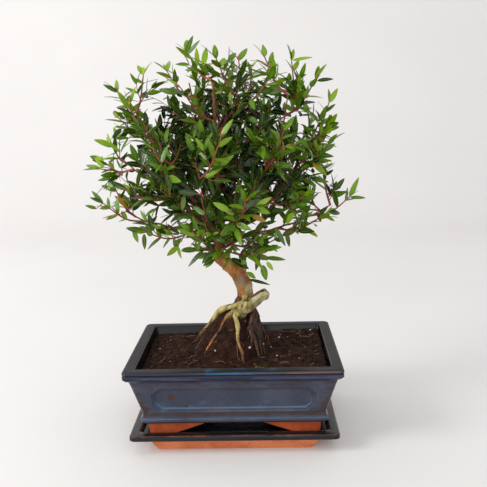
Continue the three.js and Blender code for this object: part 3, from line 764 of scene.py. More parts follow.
def curve_point(points, share):
    """A point on the smooth curve through a row of points."""
    place_on = (len(points) - 1) * share
    first = min(int(place_on), len(points) - 2)
    t = place_on - first
    start, end = points[first], points[first + 1]
    before = points[first - 1] if first > 0 else 2 * start - end
    after = points[first + 2] if first + 2 < len(points) else 2 * end - start
    leave, arrive = (end - before) / 2, (after - start) / 2
    return (
        start + leave * t + (3 * end - 3 * start - 2 * leave - arrive) * t**2
        + (2 * start - 2 * end + leave + arrive) * t**3
    )


def curve_heading(points, share):
    """The direction of the curve at a share of its length."""
    low, high = max(0, share - 0.0001), min(1, share + 0.0001)
    return (curve_point(points, high) - curve_point(points, low)).normalized()


def value_along(values, share):
    """The value at a share of a row of values, with straight steps between them."""
    place_on = share * (len(values) - 1)
    first = min(int(place_on), len(values) - 2)
    return values[first] + (values[first + 1] - values[first]) * (place_on - first)


def tube_sections(points, radii, sides, stations, waver=0, wiggle=0):
    """Round cross-sections along the smooth curve through the points. Their size wavers and they wiggle."""
    heading = curve_heading(points, 0)
    side = heading.orthogonal().normalized()
    sections = []
    for number in range(stations + 1):
        share = number / stations
        centre = curve_point(points, share)
        centre += noise.noise_vector(centre / 9) * wiggle * math.sin(math.pi * share)
        turned = curve_heading(points, share)
        side = heading.rotation_difference(turned) @ side
        heading = turned
        radius = value_along(radii, share)
        ring = []
        for corner in range(sides):
            out = Quaternion(heading, corner / sides * math.tau) @ side
            knots = 1 + waver * noise.noise((centre + out * radius * 3) / 11)
            ring.append(centre + out * radius * knots)
        sections.append(ring)
    return sections


def add_fibres(draw):
    """The fibres, each with three bends of its own."""
    bm = bmesh.new()
    for number in range(FIBRES):
        spot = scatter_spot(draw, 8)
        turn = draw(0, math.tau)
        length = draw(5, 15)
        points = []
        for step in range(4):
            turn += draw(-0.5, 0.5)
            x = max(-FIBRE_REACH[0], min(FIBRE_REACH[0], spot[0] + math.cos(turn) * length * step / 3))
            y = max(-FIBRE_REACH[1], min(FIBRE_REACH[1], spot[1] + math.sin(turn) * length * step / 3))
            points.append(Vector((x, y, crumbled_height(x, y) + draw(0.3, 1.2))))
        sweep(bm, tube_sections(points, FIBRE_RADII, 4, 7))
    return bm


fibres = finish_piece(
    "dry_fibres",
    add_fibres(dice(77)),
    [earth_material("dry_fibre", 200.0, colour(150, 118, 84), colour(98, 66, 44), colour(60, 36, 26), 0.8)],
)
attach(fibres, "root")

# Moss
# A small tuft of moss that has grown on the damp soil near the pot's front.
# It is a bunch of short blades, each a three-sided taper.

MOSS_CENTRE = (23.7, -45.6)
MOSS_BLADES = 60


def add_moss(draw):
    """The blades of the tuft."""
    bm = bmesh.new()
    for number in range(MOSS_BLADES):
        spot = (MOSS_CENTRE[0] + draw(-4, 4), MOSS_CENTRE[1] + draw(-2.5, 2.5))
        foot = Vector((*spot, crumbled_height(*spot)))
        tip = foot + Vector((draw(-1.2, 1.2), draw(-1.2, 1.2), draw(1.2, 2.4)))
        sweep(bm, tube_sections([foot, tip], [0.35, 0.1], 3, 2))
    return bm


moss = finish_piece(
    "moss_tuft",
    add_moss(dice(5)),
    [earth_material("moss_green", 300.0, colour(120, 128, 62), colour(78, 88, 44), colour(50, 54, 30), 0.8)],
)
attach(moss, "root")

# Roots, trunk and branches
# One piece of living wood with orange-brown bark and grey patches. Bare roots stride over the heap of soil,
# the trunk bends where an old stem was sawn off, and the leader and the branches spread inside the crown.

LEADER_START = 6
FUSED_TRUNK = 8  # the first stations of the trunk, which melt together with the roots and the stub
BARK_VOXEL = 0.7
ROOT_SLIMMING = 0.88
BRANCH_SLIMMING = 0.63
STUB_HOLLOW = [Vector((12.5, -5, 131)), Vector((18, -7, 134)), Vector((28, -8.5, 140.5))]
FOOT_RIDGE = [(-8, 7, 117.5, 2.2), (-1, 1.5, 120.5, 2.5), (6, -3.5, 125, 2.5), (13, -6.5, 129.5, 1.8)]
FORK_CRACK = [Vector((14, -7, 132)), Vector((10, -8.5, 127)), Vector((6.5, -8, 120))]
SCAR = Vector((16, 2, 138))  # a pale scar on the trunk's right side, just above the stub

# Each station of a limb is x, y, z and the radius there.
TRUNK = [
    (1, 15, 52, 7), (2, 14, 88, 11), (7, 13, 114, 10), (11.5, 10, 129, 8), (7, 6, 150, 7.6),
    (-6, 3, 164, 6.8), (-14, 0, 174, 6), (-12, -6, 190, 4.4), (-11, -22, 222, 3.3), (-10, -36, 262, 2.7),
    (-11, -34, 300, 2), (-12, -26, 336, 1.3),
]
STUB = [(4, 4, 112, 5.5), (12, -3, 121, 6.2), (22, -5, 129, 6.4), (30, -6, 135, 6.2), (33, -6, 137.5, 3.4)]
ROOTS = [
    [
        (11, 10, 126, 4), (-1, 10, 119.5, 3.4), (-13, 11, 115, 3.1), (-22, 15, 104, 2.6), (-33, 22, 89, 2.1),
        (-44, 30, 74, 1.6), (-58, 36, 62, 1),
    ],
    [(4, 8, 118, 3), (-8, 0, 109.5, 1.7), (-17, -6, 96, 1.5), (-25, -10, 84, 1.3), (-33, -14, 70, 1)],
    [
        (4, 6, 116, 3.4), (1.5, -5, 112, 2.6), (4, -12, 100.5, 2.3), (4.5, -18, 90.5, 1.9),
        (8, -26, 77, 1.5), (12, -33, 64, 1),
    ],
    [(12, 8, 118, 4), (18, -1, 114, 2.6), (17, -6, 104, 2.4), (19, -12, 93, 1.9), (24, -20, 76, 1.2)],
    [(10, 12, 120, 5), (20, 13, 112, 3.6), (25, 15, 98, 3), (31, 18, 82, 2.2), (42, 22, 64, 1.2)],
    [(9, 14, 116, 5), (14, 27, 106, 3.2), (18, 38, 94, 2.6), (24, 48, 74, 1.6)],
    [(5, 14, 116, 5), (-3, 28, 107, 3.2), (-12, 38, 94, 2.4), (-20, 47, 74, 1.5)],
]
BRANCHES = [
    [
        (-13, -2, 180, 3), (2, -14, 206, 2.1), (18, -32, 235, 1.8), (38, -46, 266, 1.6), (48, -46, 294, 1.3),
        (54, -30, 322, 0.9),
    ],
    [
        (-12, -8, 194, 2.5), (-32, -26, 228, 1.8), (-52, -40, 262, 1.6), (-72, -30, 294, 1.3),
        (-90, -14, 320, 0.9),
    ],
    [
        (-13, -4, 184, 2.6), (-34, -26, 216, 1.8), (-54, -34, 238, 1.5), (-84, -22, 256, 1.2),
        (-102, -4, 268, 0.9),
    ],
    [
        (-14, 0, 177, 2.6), (-34, -6, 194, 1.8), (-60, -12, 203, 1.5), (-84, -10, 210, 1.2),
        (-100, -6, 218, 0.9),
    ],
    [(-12, -4, 186, 2.5), (18, -18, 212, 1.8), (40, -22, 230, 1.5), (62, -12, 256, 1.2), (74, -2, 274, 0.9)],
    [(-13, -1, 178, 2.5), (14, 2, 190, 1.7), (42, 0, 198, 1.5), (70, -4, 208, 1.2), (94, -5, 220, 0.9)],
    [(-10, -35, 256, 2.2), (14, -24, 280, 1.6), (42, -8, 298, 1.3), (68, -2, 312, 0.9)],
    [(-11, -35, 288, 1.7), (6, -18, 312, 1.3), (26, -4, 334, 0.9)],
    [(-10, -34, 274, 1.9), (-28, -14, 306, 1.4), (-36, -2, 336, 0.9)],
    [(-13, -3, 186, 2.7), (-6, 24, 212, 1.9), (2, 44, 240, 1.6), (6, 52, 276, 1.3), (4, 46, 310, 0.9)],
    [(-12, -6, 192, 2.3), (-38, 18, 222, 1.7), (-62, 34, 252, 1.3), (-74, 36, 286, 0.9)],
    [(-12, -5, 190, 2.3), (14, 20, 214, 1.7), (44, 34, 244, 1.3), (62, 36, 280, 0.9)],
    [(-12, -6, 188, 2.2), (-18, -30, 200, 1.6), (-22, -50, 222, 1.2), (-24, -58, 252, 0.9)],
    [(-12, -8, 196, 2.2), (-2, -34, 208, 1.5), (14, -52, 222, 1.2), (24, -60, 246, 0.9)],
]


def path_of(limb):
    """A limb's points and its radii."""
    return [Vector(station[:3]) for station in limb], [station[3] for station in limb]


def add_limb(bm, limb, sides, stations, waver, wiggle=0.0, slimming=1.0):
    points, radii = path_of(limb)
    sweep(bm, tube_sections(points, [radius * slimming for radius in radii], sides, stations, waver, wiggle))


def fused_skin(bm, voxel):
    """Melts overlapping limbs into one skin."""
    lump = finish_piece("lump", bm, [])
    melt = lump.modifiers.new("melt", "REMESH")
    melt.mode = "VOXEL"
    melt.voxel_size = voxel * MM
    melted = bpy.data.meshes.new_from_object(lump.evaluated_get(bpy.context.evaluated_depsgraph_get()))
    bpy.data.objects.remove(lump)
    skin = bmesh.new()
    skin.from_mesh(melted)
    bpy.data.meshes.remove(melted)
    bmesh.ops.scale(skin, vec=(1 / MM, 1 / MM, 1 / MM), verts=skin.verts)
    for step in range(2):
        bmesh.ops.smooth_vert(
            skin, verts=skin.verts, factor=0.5, use_axis_x=True, use_axis_y=True, use_axis_z=True
        )
    return skin


def within_one(value):
    """A value held between 0 and 1."""
    return max(0, min(1, value))


def hollow_share(point):
    """1 in the hollow along the top of the stub and in the crack at its foot, and 0 away from them. Both are
    sunk in and painted dark as shade.
    """
    if point.z < 115 or point.z > 146 or point.y > 2:
        return 0
    shares = [0]
    for line, reach in ((STUB_HOLLOW, 5), (FORK_CRACK, 2.6)):
        away = min((point - curve_point(line, step / 16)).length for step in range(17))
        shares.append(1 - away / reach)
    return max(shares)


def grow_wood():
    """The tree without its shoots."""
    bm = bmesh.new()
    add_limb(bm, TRUNK[:FUSED_TRUNK], 28, 60, 0.16)
    add_limb(bm, STUB, 20, 30, 0.45, 1.2)
    add_limb(bm, FOOT_RIDGE, 12, 20, 0.35)
    for root in ROOTS:
        add_limb(bm, root, 14, 40, 0.35, 1.6, ROOT_SLIMMING)
    skin = fused_skin(bm, BARK_VOXEL)
    skin.normal_update()
    for vert in skin.verts:
        x, y, z = vert.co
        plates = noise.fractal(Vector((x / 4, y / 4, z / 13)), 1.0, 2.0, 4)
        swell = noise.noise(Vector((x, y, z)) / 9)
        vert.co += vert.normal * (0.5 * plates + 0.7 * swell - 2 * hollow_share(vert.co))
    young = bmesh.new()
    add_limb(young, TRUNK[LEADER_START:], 10, 50, 0.15, 0, 0.8)
    for branch in BRANCHES:
        add_limb(young, branch, 9, 36, 0.2, 1.5, BRANCH_SLIMMING)
    young_mesh = bpy.data.meshes.new("young_wood")
    young.to_mesh(young_mesh)
    young.free()
    skin.from_mesh(young_mesh)
    bpy.data.meshes.remove(young_mesh)
    return skin


def limb_samples():
    """Points along every limb, each with its radius, its kind and how far along the limb it is."""
    kinds = [("trunk", TRUNK), ("stub", STUB), ("ridge", FOOT_RIDGE)]
    kinds += [("pale root", ROOTS[0]), ("thin root", ROOTS[1]), ("pale root", ROOTS[2])]
    kinds += [("dark root", root) for root in ROOTS[3:]]
    kinds += [("branch", branch) for branch in BRANCHES]
    samples = []
    for kind, limb in kinds:
        points, radii = path_of(limb)
        for number in range(61):
            share = number / 60
            samples.append((curve_point(points, share), value_along(radii, share), kind, share))
    return samples


def paint_wood(bm):
    """Marks the vertices with the kinds of bark: pale roots, olive stub and red young wood, and darker bark
    on some roots and the trunk's foot. The dark in the cracks and the stub's hollow is painted shade.
    """
    layers = {name: bm.verts.layers.float.new(name) for name in ("pale", "olive", "red", "shade")}
    samples = limb_samples()
    tree = kdtree.KDTree(len(samples))
    for number, (spot, _, _, _) in enumerate(samples):
        tree.insert(spot, number)
    tree.balance()
    for vert in bm.verts:
        near = {}
        for spot, number, away in tree.find_n(vert.co, 14):
            _, radius, kind, share = samples[number]
            gap = away - radius
            if kind not in near or gap < near[kind][0]:
                near[kind] = (gap, share)
        kind = min(near, key=lambda name: near[name][0])
        share = near[kind][1]
        stub_gap = near.get("stub", (9, 0))[0]
        trunk_gap = near.get("trunk", (9, 0))[0]
        # Painted shade: the crack between the stub and the trunk, and the hollow on the stub, are marked
        # dark.
        crack = max(0, 1 - abs(stub_gap - trunk_gap) / 1.6) if kind in ("stub", "trunk") else 0
        crack = max(crack, 1.6 * hollow_share(vert.co))
        z = vert.co.z
        vert[layers["pale"]] = {
            "pale root": within_one((0.75 - share) * 4),
            "thin root": within_one((0.3 - share) * 6),
            "ridge": 1,
        }.get(kind, 0)
        scar = within_one(1.6 - (vert.co - SCAR).length / 4.5)
        vert[layers["olive"]] = 1 if kind == "stub" else scar
        vert[layers["red"]] = 1 if kind == "branch" else within_one((z - 170) / 16)
        dark = {
            "dark root": 0.78,
            "pale root": 1 if z > 120 else 0.1 + 0.7 * within_one((share - 0.5) / 0.35),
            "thin root": 0.45 if share < 0.62 else 0.05 if share < 0.82 else 0.7,
            "ridge": 0.1,
            "trunk": within_one((131 - z) / 3),
        }.get(kind, within_one((110 - z) / 10))
        vert[layers["shade"]] = max(dark, min(1, crack))


def bark_material():
    """Orange-brown bark with grey patches, pale root skin, an olive stub, red young wood, darker roots, and
    painted shade in the cracks.
    """
    material, tree, shader, points = start_material("bark")
    drawn_out = place(tree, "Mapping", {"Vector": points, "Scale": (1, 1, 0.45)}).outputs["Vector"]

    def tones(scale, light, dark, grains, amount):
        inputs = {"Points": drawn_out, "Scale": scale, "Light": light, "Dark": dark, "Grain": grains}
        return place(tree, "Group", {**inputs, "Grains": amount}, node_tree=mottle).outputs

    base = tones(110.0, colour(192, 124, 64), colour(134, 84, 44), colour(80, 50, 30), 0.7)
    young = tones(150.0, colour(130, 70, 38), colour(88, 48, 26), colour(52, 32, 16), 0.6)
    olive = tones(130.0, colour(186, 176, 132), colour(110, 100, 46), colour(56, 42, 26), 1.0)
    pale = tones(110.0, colour(194, 180, 112), colour(128, 108, 56), colour(84, 54, 34), 0.95)
    dark = tones(160.0, colour(92, 58, 40), colour(48, 30, 24), colour(24, 16, 14), 0.6)
    patches = step_up(tree, grain(tree, points, 60, 4.0), 0.54, 0.62)
    moss_film = step_up(tree, grain(tree, points, 95, 3.0), 0.56, 0.66)
    ragged = sums(tree, "MULTIPLY_ADD", grain(tree, points, 120, 3.0), 1.1, -0.55)
    shade = step_up(tree, sums(tree, "ADD", own_value(tree, "shade"), ragged), 0.3, 0.75)
    tone = tint(tree, base["Colour"], patches, 0.75, colour(128, 114, 90))
    tone = tint(tree, tone, moss_film, 0.5, colour(158, 148, 70))
    for name, skin in (("red", young), ("olive", olive), ("pale", pale)):
        tone = blend(tree, own_value(tree, name), tone, skin["Colour"])
    tone = blend(tree, shade, tone, dark["Colour"])
    tree.links.new(tone, shader.inputs["Base Color"])
    shader.inputs["Roughness"].default_value = 0.62
    shader.inputs["Specular IOR Level"].default_value = 0.3
    add_bump(tree, shader, base["Height"], 0.8, 0.0014)
    return material


bark = bark_material()
wood_mesh = grow_wood()
paint_wood(wood_mesh)
tree_wood = finish_piece("tree_wood", wood_mesh, [bark])
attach(tree_wood, "root")
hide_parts("trunk")

# Fine roots
# Thin side roots hang from the raised roots into the soil, and darker, thicker ones mat together at the
# right. Each is a tapering tube that leaves its root, bends down and goes into the soil.


def side_roots(draw, starts, thin, thick, sides):
    """Side roots from a share of each raised root. A start is the root, the two shares and how many."""
    bm = bmesh.new()
    for root, low, high, count in starts:
        points, _ = path_of(root)
        for number in range(count):
            start = curve_point(points, draw(low, high))
            out = Vector((draw(-0.5, 1), draw(-1, 0.3), 0)) * draw(3, 13)
            x, y = start.x + out.x, start.y + out.y
            end = Vector((x, y, crumbled_height(x, y) - 1))
            middle = (start + end) / 2 + Vector((draw(-2, 2), draw(-2, 1), draw(-1, 4)))
            knee = (middle + end) / 2 + Vector((draw(-2, 2), draw(-2, 2), draw(-1, 1)))
            size = draw(thin, thick)
            radii = [size, size * 0.8, size * 0.6]
            sweep(bm, tube_sections([start, middle, knee, end], radii, sides, 12, 0.4, 1.5))
    return bm


rootlet_skin = earth_material(
    "rootlet_skin", 160.0, colour(136, 100, 70), colour(84, 54, 38), colour(52, 34, 26), 0.8
)
rootlets = finish_piece(
    "rootlets",
    side_roots(
        dice(9),
        [
            (ROOTS[4], 0.2, 0.7, 24), (ROOTS[3], 0.1, 0.8, 16), (ROOTS[0], 0.3, 0.8, 6),
            (ROOTS[2], 0.2, 0.8, 5),
        ],
        0.25,
        0.6,
        5,
    ),
    [rootlet_skin],
)
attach(rootlets, "root")

matted_skin = earth_material(
    "matted_root_skin", 160.0, colour(68, 45, 33), colour(36, 23, 18), colour(18, 12, 10), 0.85
)
root_mass = finish_piece(
    "matted_dark_roots",
    side_roots(dice(21), [(ROOTS[4], 0.05, 0.5, 22), (ROOTS[3], 0.1, 0.6, 20)], 0.9, 1.9, 8),
    [matted_skin],
)
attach(root_mass, "root")

# Leafy shoots
# Young red stems with side twigs and leaves in opposite pairs. A leaf is 14 to 20 mm long, thick, glossy and
# folded a little along its midrib; the newest ones at the tips are small and pinkish.

CANOPY_SEED = 4127
CANOPY_CENTRE = Vector((-8, 0, 266))
CANOPY_REACH = Vector((104, 84, 92))
OUTLINE_TIPS = [
    (-34, -10, 180), (-81, -15, 199), (-121, -10, 227), (-116, 15, 243), (-122, 6, 265), (-116, 16, 284),
    (-103, -5, 306), (-102, -5, 330), (-80, 10, 345), (-58, 15, 348), (-37, 0, 364), (-10, -8, 357),
    (10, 12, 356), (34, -5, 358), (59, 0, 354), (81, -5, 337), (95, 15, 316), (92, 0, 292), (87, 10, 262),
    (114, -5, 229), (82, -15, 209), (49, 10, 189), (31, -15, 180),
]
ROUND_TIPS = 33
BELT = 0.3
LOWEST_ROUND_TIP = 188
GOLDEN_ANGLE = math.pi * (3 - math.sqrt(5))

SEAT_STEPS = 20
SEAT_SPACING = 6
SHOOT_LENGTH = 44
SHOOT_RISE = 12
SHOOT_BOW = 0.14
TURNED_BOWS = {1: 0.8, 37: 0.8}  # these shoots bow to the side, clear of their neighbours
SHOOT_RADII = (1.15, 0.85, 0.55)
TWIG_RADII = (0.75, 0.5)

PAIRS = (0.46, 0.66, 0.84)
PAIR_SPREAD = 0.95
END_PAIR = (0.995, 0.45)
TWIG_PAIR = (0.98, 0.6)
LEAF_FULLNESS = 0.96
LEAF_FOLD = 0.16
LEAF_THICKNESS = 0.34
LEAF_SWING = 1.1  # a finer leaf is turned about its midrib by up to this, in radians
LEAF_OVERHANG = 18  # a leaf's tip may stand this far outside the outline of the shoots' tips


def shoot_tips():
    """The ends of the shoots: those on the outline, then those evenly over the rest of the crown."""
    tips = [Vector(tip) for tip in OUTLINE_TIPS]
    for number in range(ROUND_TIPS):
        depth = 1 - 2 * (number + 0.5) / ROUND_TIPS
        ring = math.sqrt(1 - depth * depth)
        turn = number * GOLDEN_ANGLE
        tip = Vector((ring * math.cos(turn), depth, ring * math.sin(turn))) * CANOPY_REACH + CANOPY_CENTRE
        if abs(depth) > BELT and tip.z > LOWEST_ROUND_TIP:
            tips.append(tip)
    return tips


def shoot_seat(tip, taken, seats):
    """The fitting point of the branches for a shoot that ends at a tip."""
    best_cost, best = math.inf, None
    for point in seats:
        cost = abs((point - tip).length - SHOOT_LENGTH)
        cost += max(0, point.z + SHOOT_RISE - tip.z) / 2
        if any((other - point).length < SEAT_SPACING for other in taken):
            cost += SHOOT_LENGTH
        if cost < best_cost:
            best_cost, best = cost, point
    return best


def heading_from(points, share, roll, spread):
    """A direction that leaves a stem at an angle, turned round the stem by roll."""
    tangent = curve_heading(points, share)
    side = Quaternion(tangent, roll) @ Vector((0, 0, 1)).cross(tangent).normalized()
    return tangent * math.cos(spread) + side * math.sin(spread)


def leaf_width(share):
    """The leaf's half width along its length, 1 at its widest: narrow at the stalk, drawn out at the tip."""
    return math.sin(math.pi * share**0.84) ** 0.7 * (1.04 - 0.16 * share)


def leafy_mesh():
    """An empty mesh with the values that a leaf's vertices carry."""
    bm = bmesh.new()
    for name in ("across", "along", "fresh_and_lit", "young"):
        bm.verts.layers.float.new(name)
    return bm


def leaf_blank():
    """A ball of a few dozen faces, from which every leaf is drawn out."""
    bm = leafy_mesh()
    bmesh.ops.create_uvsphere(bm, u_segments=4, v_segments=7, radius=1)
    blank = bpy.data.meshes.new("leaf_blank")
    bm.to_mesh(blank)
    bm.free()
    return blank


leaf_ball = leaf_blank()


def add_leaf(bm, base, along, face, length, width, bend, fresh_and_lit, young):
    """One leaf, from its stalk at base. Its tone value runs from 0 for an old dark leaf to 1 for a new light
    one and also carries painted light and shade; young is 1 for a new pink one.
    """
    layers = bm.verts.layers.float
    across = along.cross(face)
    before = len(bm.verts)
    bm.from_mesh(leaf_ball)
    bm.verts.ensure_lookup_table()
    for vert in bm.verts[before:]:
        share = (1 - vert.co.z) / 2
        ring = math.sqrt(max(1e-9, 1 - vert.co.z**2))
        side, thick = vert.co.x / ring, vert.co.y / ring
        inside = 0 if share < 0.01 or share > 0.99 else 1
        half = width / 2 * leaf_width(share) * side * inside
        lift = abs(half) * LEAF_FOLD + thick * inside * LEAF_THICKNESS / 2
        vert.co = base + along * (share * length) + across * half + face * (lift - bend * share * share)
        vert[layers["across"]] = side * inside
        vert[layers["along"]] = share
        vert[layers["fresh_and_lit"]] = fresh_and_lit
        vert[layers["young"]] = young


def leaf_at(bm, points, share, roll, spread, draw, fresh_and_lit, size=1.0, young=0, loose=0.0):
    """A leaf on a stem, drawn as in the CAD model. Loose leaves are also turned about their own midrib."""
    base = curve_point(points, share)
    turned = roll + draw(-0.35, 0.35)
    along = heading_from(points, share, turned, spread + draw(-0.2, 0.2))
    face = (base - CANOPY_CENTRE).normalized() * 0.7
    face.x += draw(-0.5, 0.5)
    face.y += draw(-0.5, 0.5)
    face.z += 0.7
    face = (face - along * face.dot(along)).normalized()
    length = draw(14.5, 20) * size
    bend = length * draw(0.04, 0.18)
    width = length * 0.34 * draw(0.88, 1.14) * LEAF_FULLNESS
    if draw(0, 1) > 0.985:
        young = max(young, 0.5)
    if loose:
        face = Quaternion(along, draw(-loose, loose)) @ face
    if crown_share(base + along * length, LEAF_OVERHANG) <= 1:
        add_leaf(bm, base, along, face, length, width, bend, fresh_and_lit, young)


def outline_turns():
    """How far the crown reaches at each angle in the front view, once round and a step over."""
    turns = []
    for x, _, z in OUTLINE_TIPS:
        across, up = x - CANOPY_CENTRE.x, z - CANOPY_CENTRE.z
        turns.append((math.atan2(up, across), math.hypot(up, across)))
    turns.sort()
    (first, near), (last, far) = turns[0], turns[-1]
    return [(last - math.tau, far), *turns, (first + math.tau, near)]


CROWN_TURNS = outline_turns()


def outline_radius(angle):
    """How far the crown reaches in the front view at an angle."""
    for (low, near), (high, far) in zip(CROWN_TURNS, CROWN_TURNS[1:]):
        if low <= angle <= high:
            return near + (far - near) * (angle - low) / (high - low)


def crown_share(point, overhang=0):
    """How far out in the crown a point is: 0 at its centre and 1 at its surface."""
    away = point - CANOPY_CENTRE
    angle = math.atan2(away.z, away.x)
    flat = math.hypot(away.x, away.z) / (outline_radius(angle) + overhang)
    return math.hypot(flat, away.y / (CANOPY_REACH.y + overhang * 0.55))


def freshness_and_light(point, draw):
    """Leaves are newer and lighter towards the crown's surface and darker deep inside, partly new growth and
    partly painted light and shade. They are lighter towards the top, a painted light, and darker at the
    lower front, a painted shade.
    """
    out = (crown_share(point) - 0.74) * 1.1
    low = within_one((262 - point.z) / 80) * max(0.2, min(1, -point.y / 40))
    high = within_one((point.z - 285) / 80)
    return within_one(0.24 + out - low * 0.14 + high * 0.22 + draw(-0.34, 0.34))


def add_stem(bm, points, radii, sides, stations):
    """A stem, which takes the second material of its piece."""
    rows = sweep(bm, tube_sections(points, radii, sides, stations))
    for stem_face in {part for row in rows for vert in row for part in vert.link_faces}:
        stem_face.material_index = 1


def add_pairs(bm, points, pairs, first, draw, smallest):
    """Opposite pairs of leaves along a stem, each a quarter turned from the last, with a pair at its end."""
    for pair in range(pairs):
        at_end = pair == pairs - 1
        share = 0.995 if at_end else first + (1 - first) * pair / (pairs - 1)
        for half in (0, math.pi):
            roll = pair * math.pi / 2 + half + 0.4
            fresh_and_lit = freshness_and_light(curve_point(points, share), draw)
            spread = 0.45 if at_end else draw(0.6, 1)
            leaf_at(bm, points, share, roll, spread, draw, fresh_and_lit, draw(smallest, 1.04), 0, LEAF_SWING)


def add_side_twig(bm, points, share, roll, spread, length, draw):
    """A side twig with opposite pairs of leaves. It is left out where it would leave the crown."""
    start = curve_point(points, share)
    along = heading_from(points, share, roll, spread)
    end = start + along * length
    if crown_share(end) > 1.03:
        return
    sag = Vector((draw(-0.1, 0.1), draw(-0.1, 0.1), draw(-0.05, 0.12))) * length
    twig = [start, (start + end) / 2 + sag, end]
    add_stem(bm, twig, [0.6, 0.5, 0.35], 4, 3)
    add_pairs(bm, twig, 2 if length < 15 else 3, 0.35, draw, 0.6)


def grow_shoot(number, points, twig, leaf_draw):
    """One shoot: the stem, twig and leaves of the CAD model, then the finer side twigs and leaves."""
    bm = leafy_mesh()
    add_stem(bm, points, SHOOT_RADII, 6, 10)
    if twig:
        add_stem(bm, twig, TWIG_RADII, 5, 4)
    own = dice(CANOPY_SEED + 100 + number)
    seats = [(points, share, pair * math.pi / 2, PAIR_SPREAD) for pair, share in enumerate(PAIRS)]
    seats.append((points, END_PAIR[0], (len(PAIRS) + 1) * math.pi / 2, END_PAIR[1]))
    if twig:
        seats.append((twig, TWIG_PAIR[0], 0, TWIG_PAIR[1]))
    for stem, share, roll, spread in seats:
        for half in (0, math.pi):
            leaf_seed = int(leaf_draw(1, 1e6))
            fresh_and_lit = freshness_and_light(curve_point(stem, share), own)
            leaf_at(bm, stem, share, roll + half, spread, dice(leaf_seed), fresh_and_lit)
    for share in (0.14, 0.28, 0.42, 0.56, 0.7):
        roll = own(0, math.tau)
        for half in (0, math.pi):
            if own(0, 1) < 0.72 - 0.7 * share:
                seat = share + own(-0.05, 0.05)
                add_side_twig(bm, points, seat, roll + half, own(0.6, 1), own(10, 19), own)
    pink = 1 if own(0, 1) < 0.6 else 0
    for half in (0, math.pi):
        roll = own(0, math.pi) + half
        leaf_at(bm, points, 1, roll, 0.25, own, 1, own(0.26, 0.4) + (1 - pink) * 0.25, pink)
    return bm


def leaf_material():
    """Thick glossy leaves, from dark to yellow-green by how new they are and by the painted light and shade
    they carry, pink when newest, with a paler midrib.
    """
    material, tree, shader, points = start_material("leaf")

    young = own_value(tree, "young")
    cloud = sums(tree, "MULTIPLY_ADD", grain(tree, points, 55, 3.0), 0.7, -0.35)
    age_and_light = sums(tree, "ADD", own_value(tree, "fresh_and_lit"), cloud)
    tone = blend(tree, step_up(tree, age_and_light, 0.05, 0.5), colour(26, 50, 4), colour(78, 116, 8))
    tone = blend(tree, step_up(tree, age_and_light, 0.4, 1.0), tone, colour(132, 164, 24))
    off_midrib = sums(tree, "ABSOLUTE", own_value(tree, "across"))
    midrib = step_up(tree, sums(tree, "MULTIPLY", off_midrib, -1.0), -0.16, -0.04)
    tone = tint(tree, tone, midrib, 0.24, colour(160, 180, 84))
    tone = blend(tree, step_up(tree, young, 0.3, 0.5), tone, colour(168, 126, 40))
    tone = blend(tree, step_up(tree, young, 0.7, 0.9), tone, colour(176, 90, 70))
    tree.links.new(tone, shader.inputs["Base Color"])
    shader.inputs["Roughness"].default_value = 0.27
    shader.inputs["Specular IOR Level"].default_value = 0.3
    ribs = sums(tree, "SINE", sums(tree, "MULTIPLY", own_value(tree, "along"), 70.0))
    swell = sums(tree, "MULTIPLY_ADD", midrib, -0.8, sums(tree, "MULTIPLY", ribs, 0.1))
    add_bump(tree, shader, swell, 0.35, 0.0004)
    return material


leaf = leaf_material()
young_stem = earth_material(
    "young_stem", 160.0, colour(150, 74, 58), colour(112, 60, 46), colour(88, 70, 44), 0.6
)



def finish_leafy(name, bm):
    """Finishes a piece of leaves and stems, and keeps the leaves' edges sharp."""
    piece = finish_piece(name, bm, [leaf, young_stem])
    piece.data.set_sharp_from_angle(angle=math.radians(60))
    return piece


limb_seats = []  # the number of a limb and a point on it, where a shoot may grow
for index, limb in enumerate([TRUNK[LEADER_START:], *BRANCHES]):
    limb_points, _ = path_of(limb)
    limb_seats += [(index, curve_point(limb_points, step / SEAT_STEPS)) for step in range(2, SEAT_STEPS + 1)]

stem_draw = dice(CANOPY_SEED)
leaf_draw = dice(CANOPY_SEED + 1)
taken_seats = []
for index, tip in enumerate(shoot_tips()):
    seat = shoot_seat(tip, taken_seats, [point for _, point in limb_seats])
    taken_seats.append(seat)
    twig_share = stem_draw(0.4, 0.6)
    twig_roll = 0 if stem_draw(0, 1) < 0.5 else math.pi
    twig_spread = stem_draw(0.7, 0.95)
    twig_length = stem_draw(13, 19)
    span = tip - seat
    down = Vector((0, 0, -SHOOT_BOW * span.length))
    bow = Quaternion(span.normalized(), TURNED_BOWS.get(index + 1, 0)) @ down
    stem = [seat, (seat + tip) / 2 + bow, tip]
    twig = None
    if index % 2 == 0:
        start = curve_point(stem, twig_share)
        along = heading_from(stem, twig_share, twig_roll, twig_spread)
        twig = [start + along * (share * twig_length) for share in (0, 0.5, 1)]
    name = f"{index + 1:02d}"
    shoot = finish_leafy("shoot_" + name, grow_shoot(index, stem, twig, leaf_draw))
    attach(shoot, "root")
    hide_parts("spray_" + name)

# Inner shoots
# The shorter shoots that fill the crown between those on its surface. They end on a loose grid, and each
# piece holds the ones that grow from one limb.

INNER_GRID = 24  # they end about this far apart
INNER_CROWN = 0.75  # and as far out in the crown as this


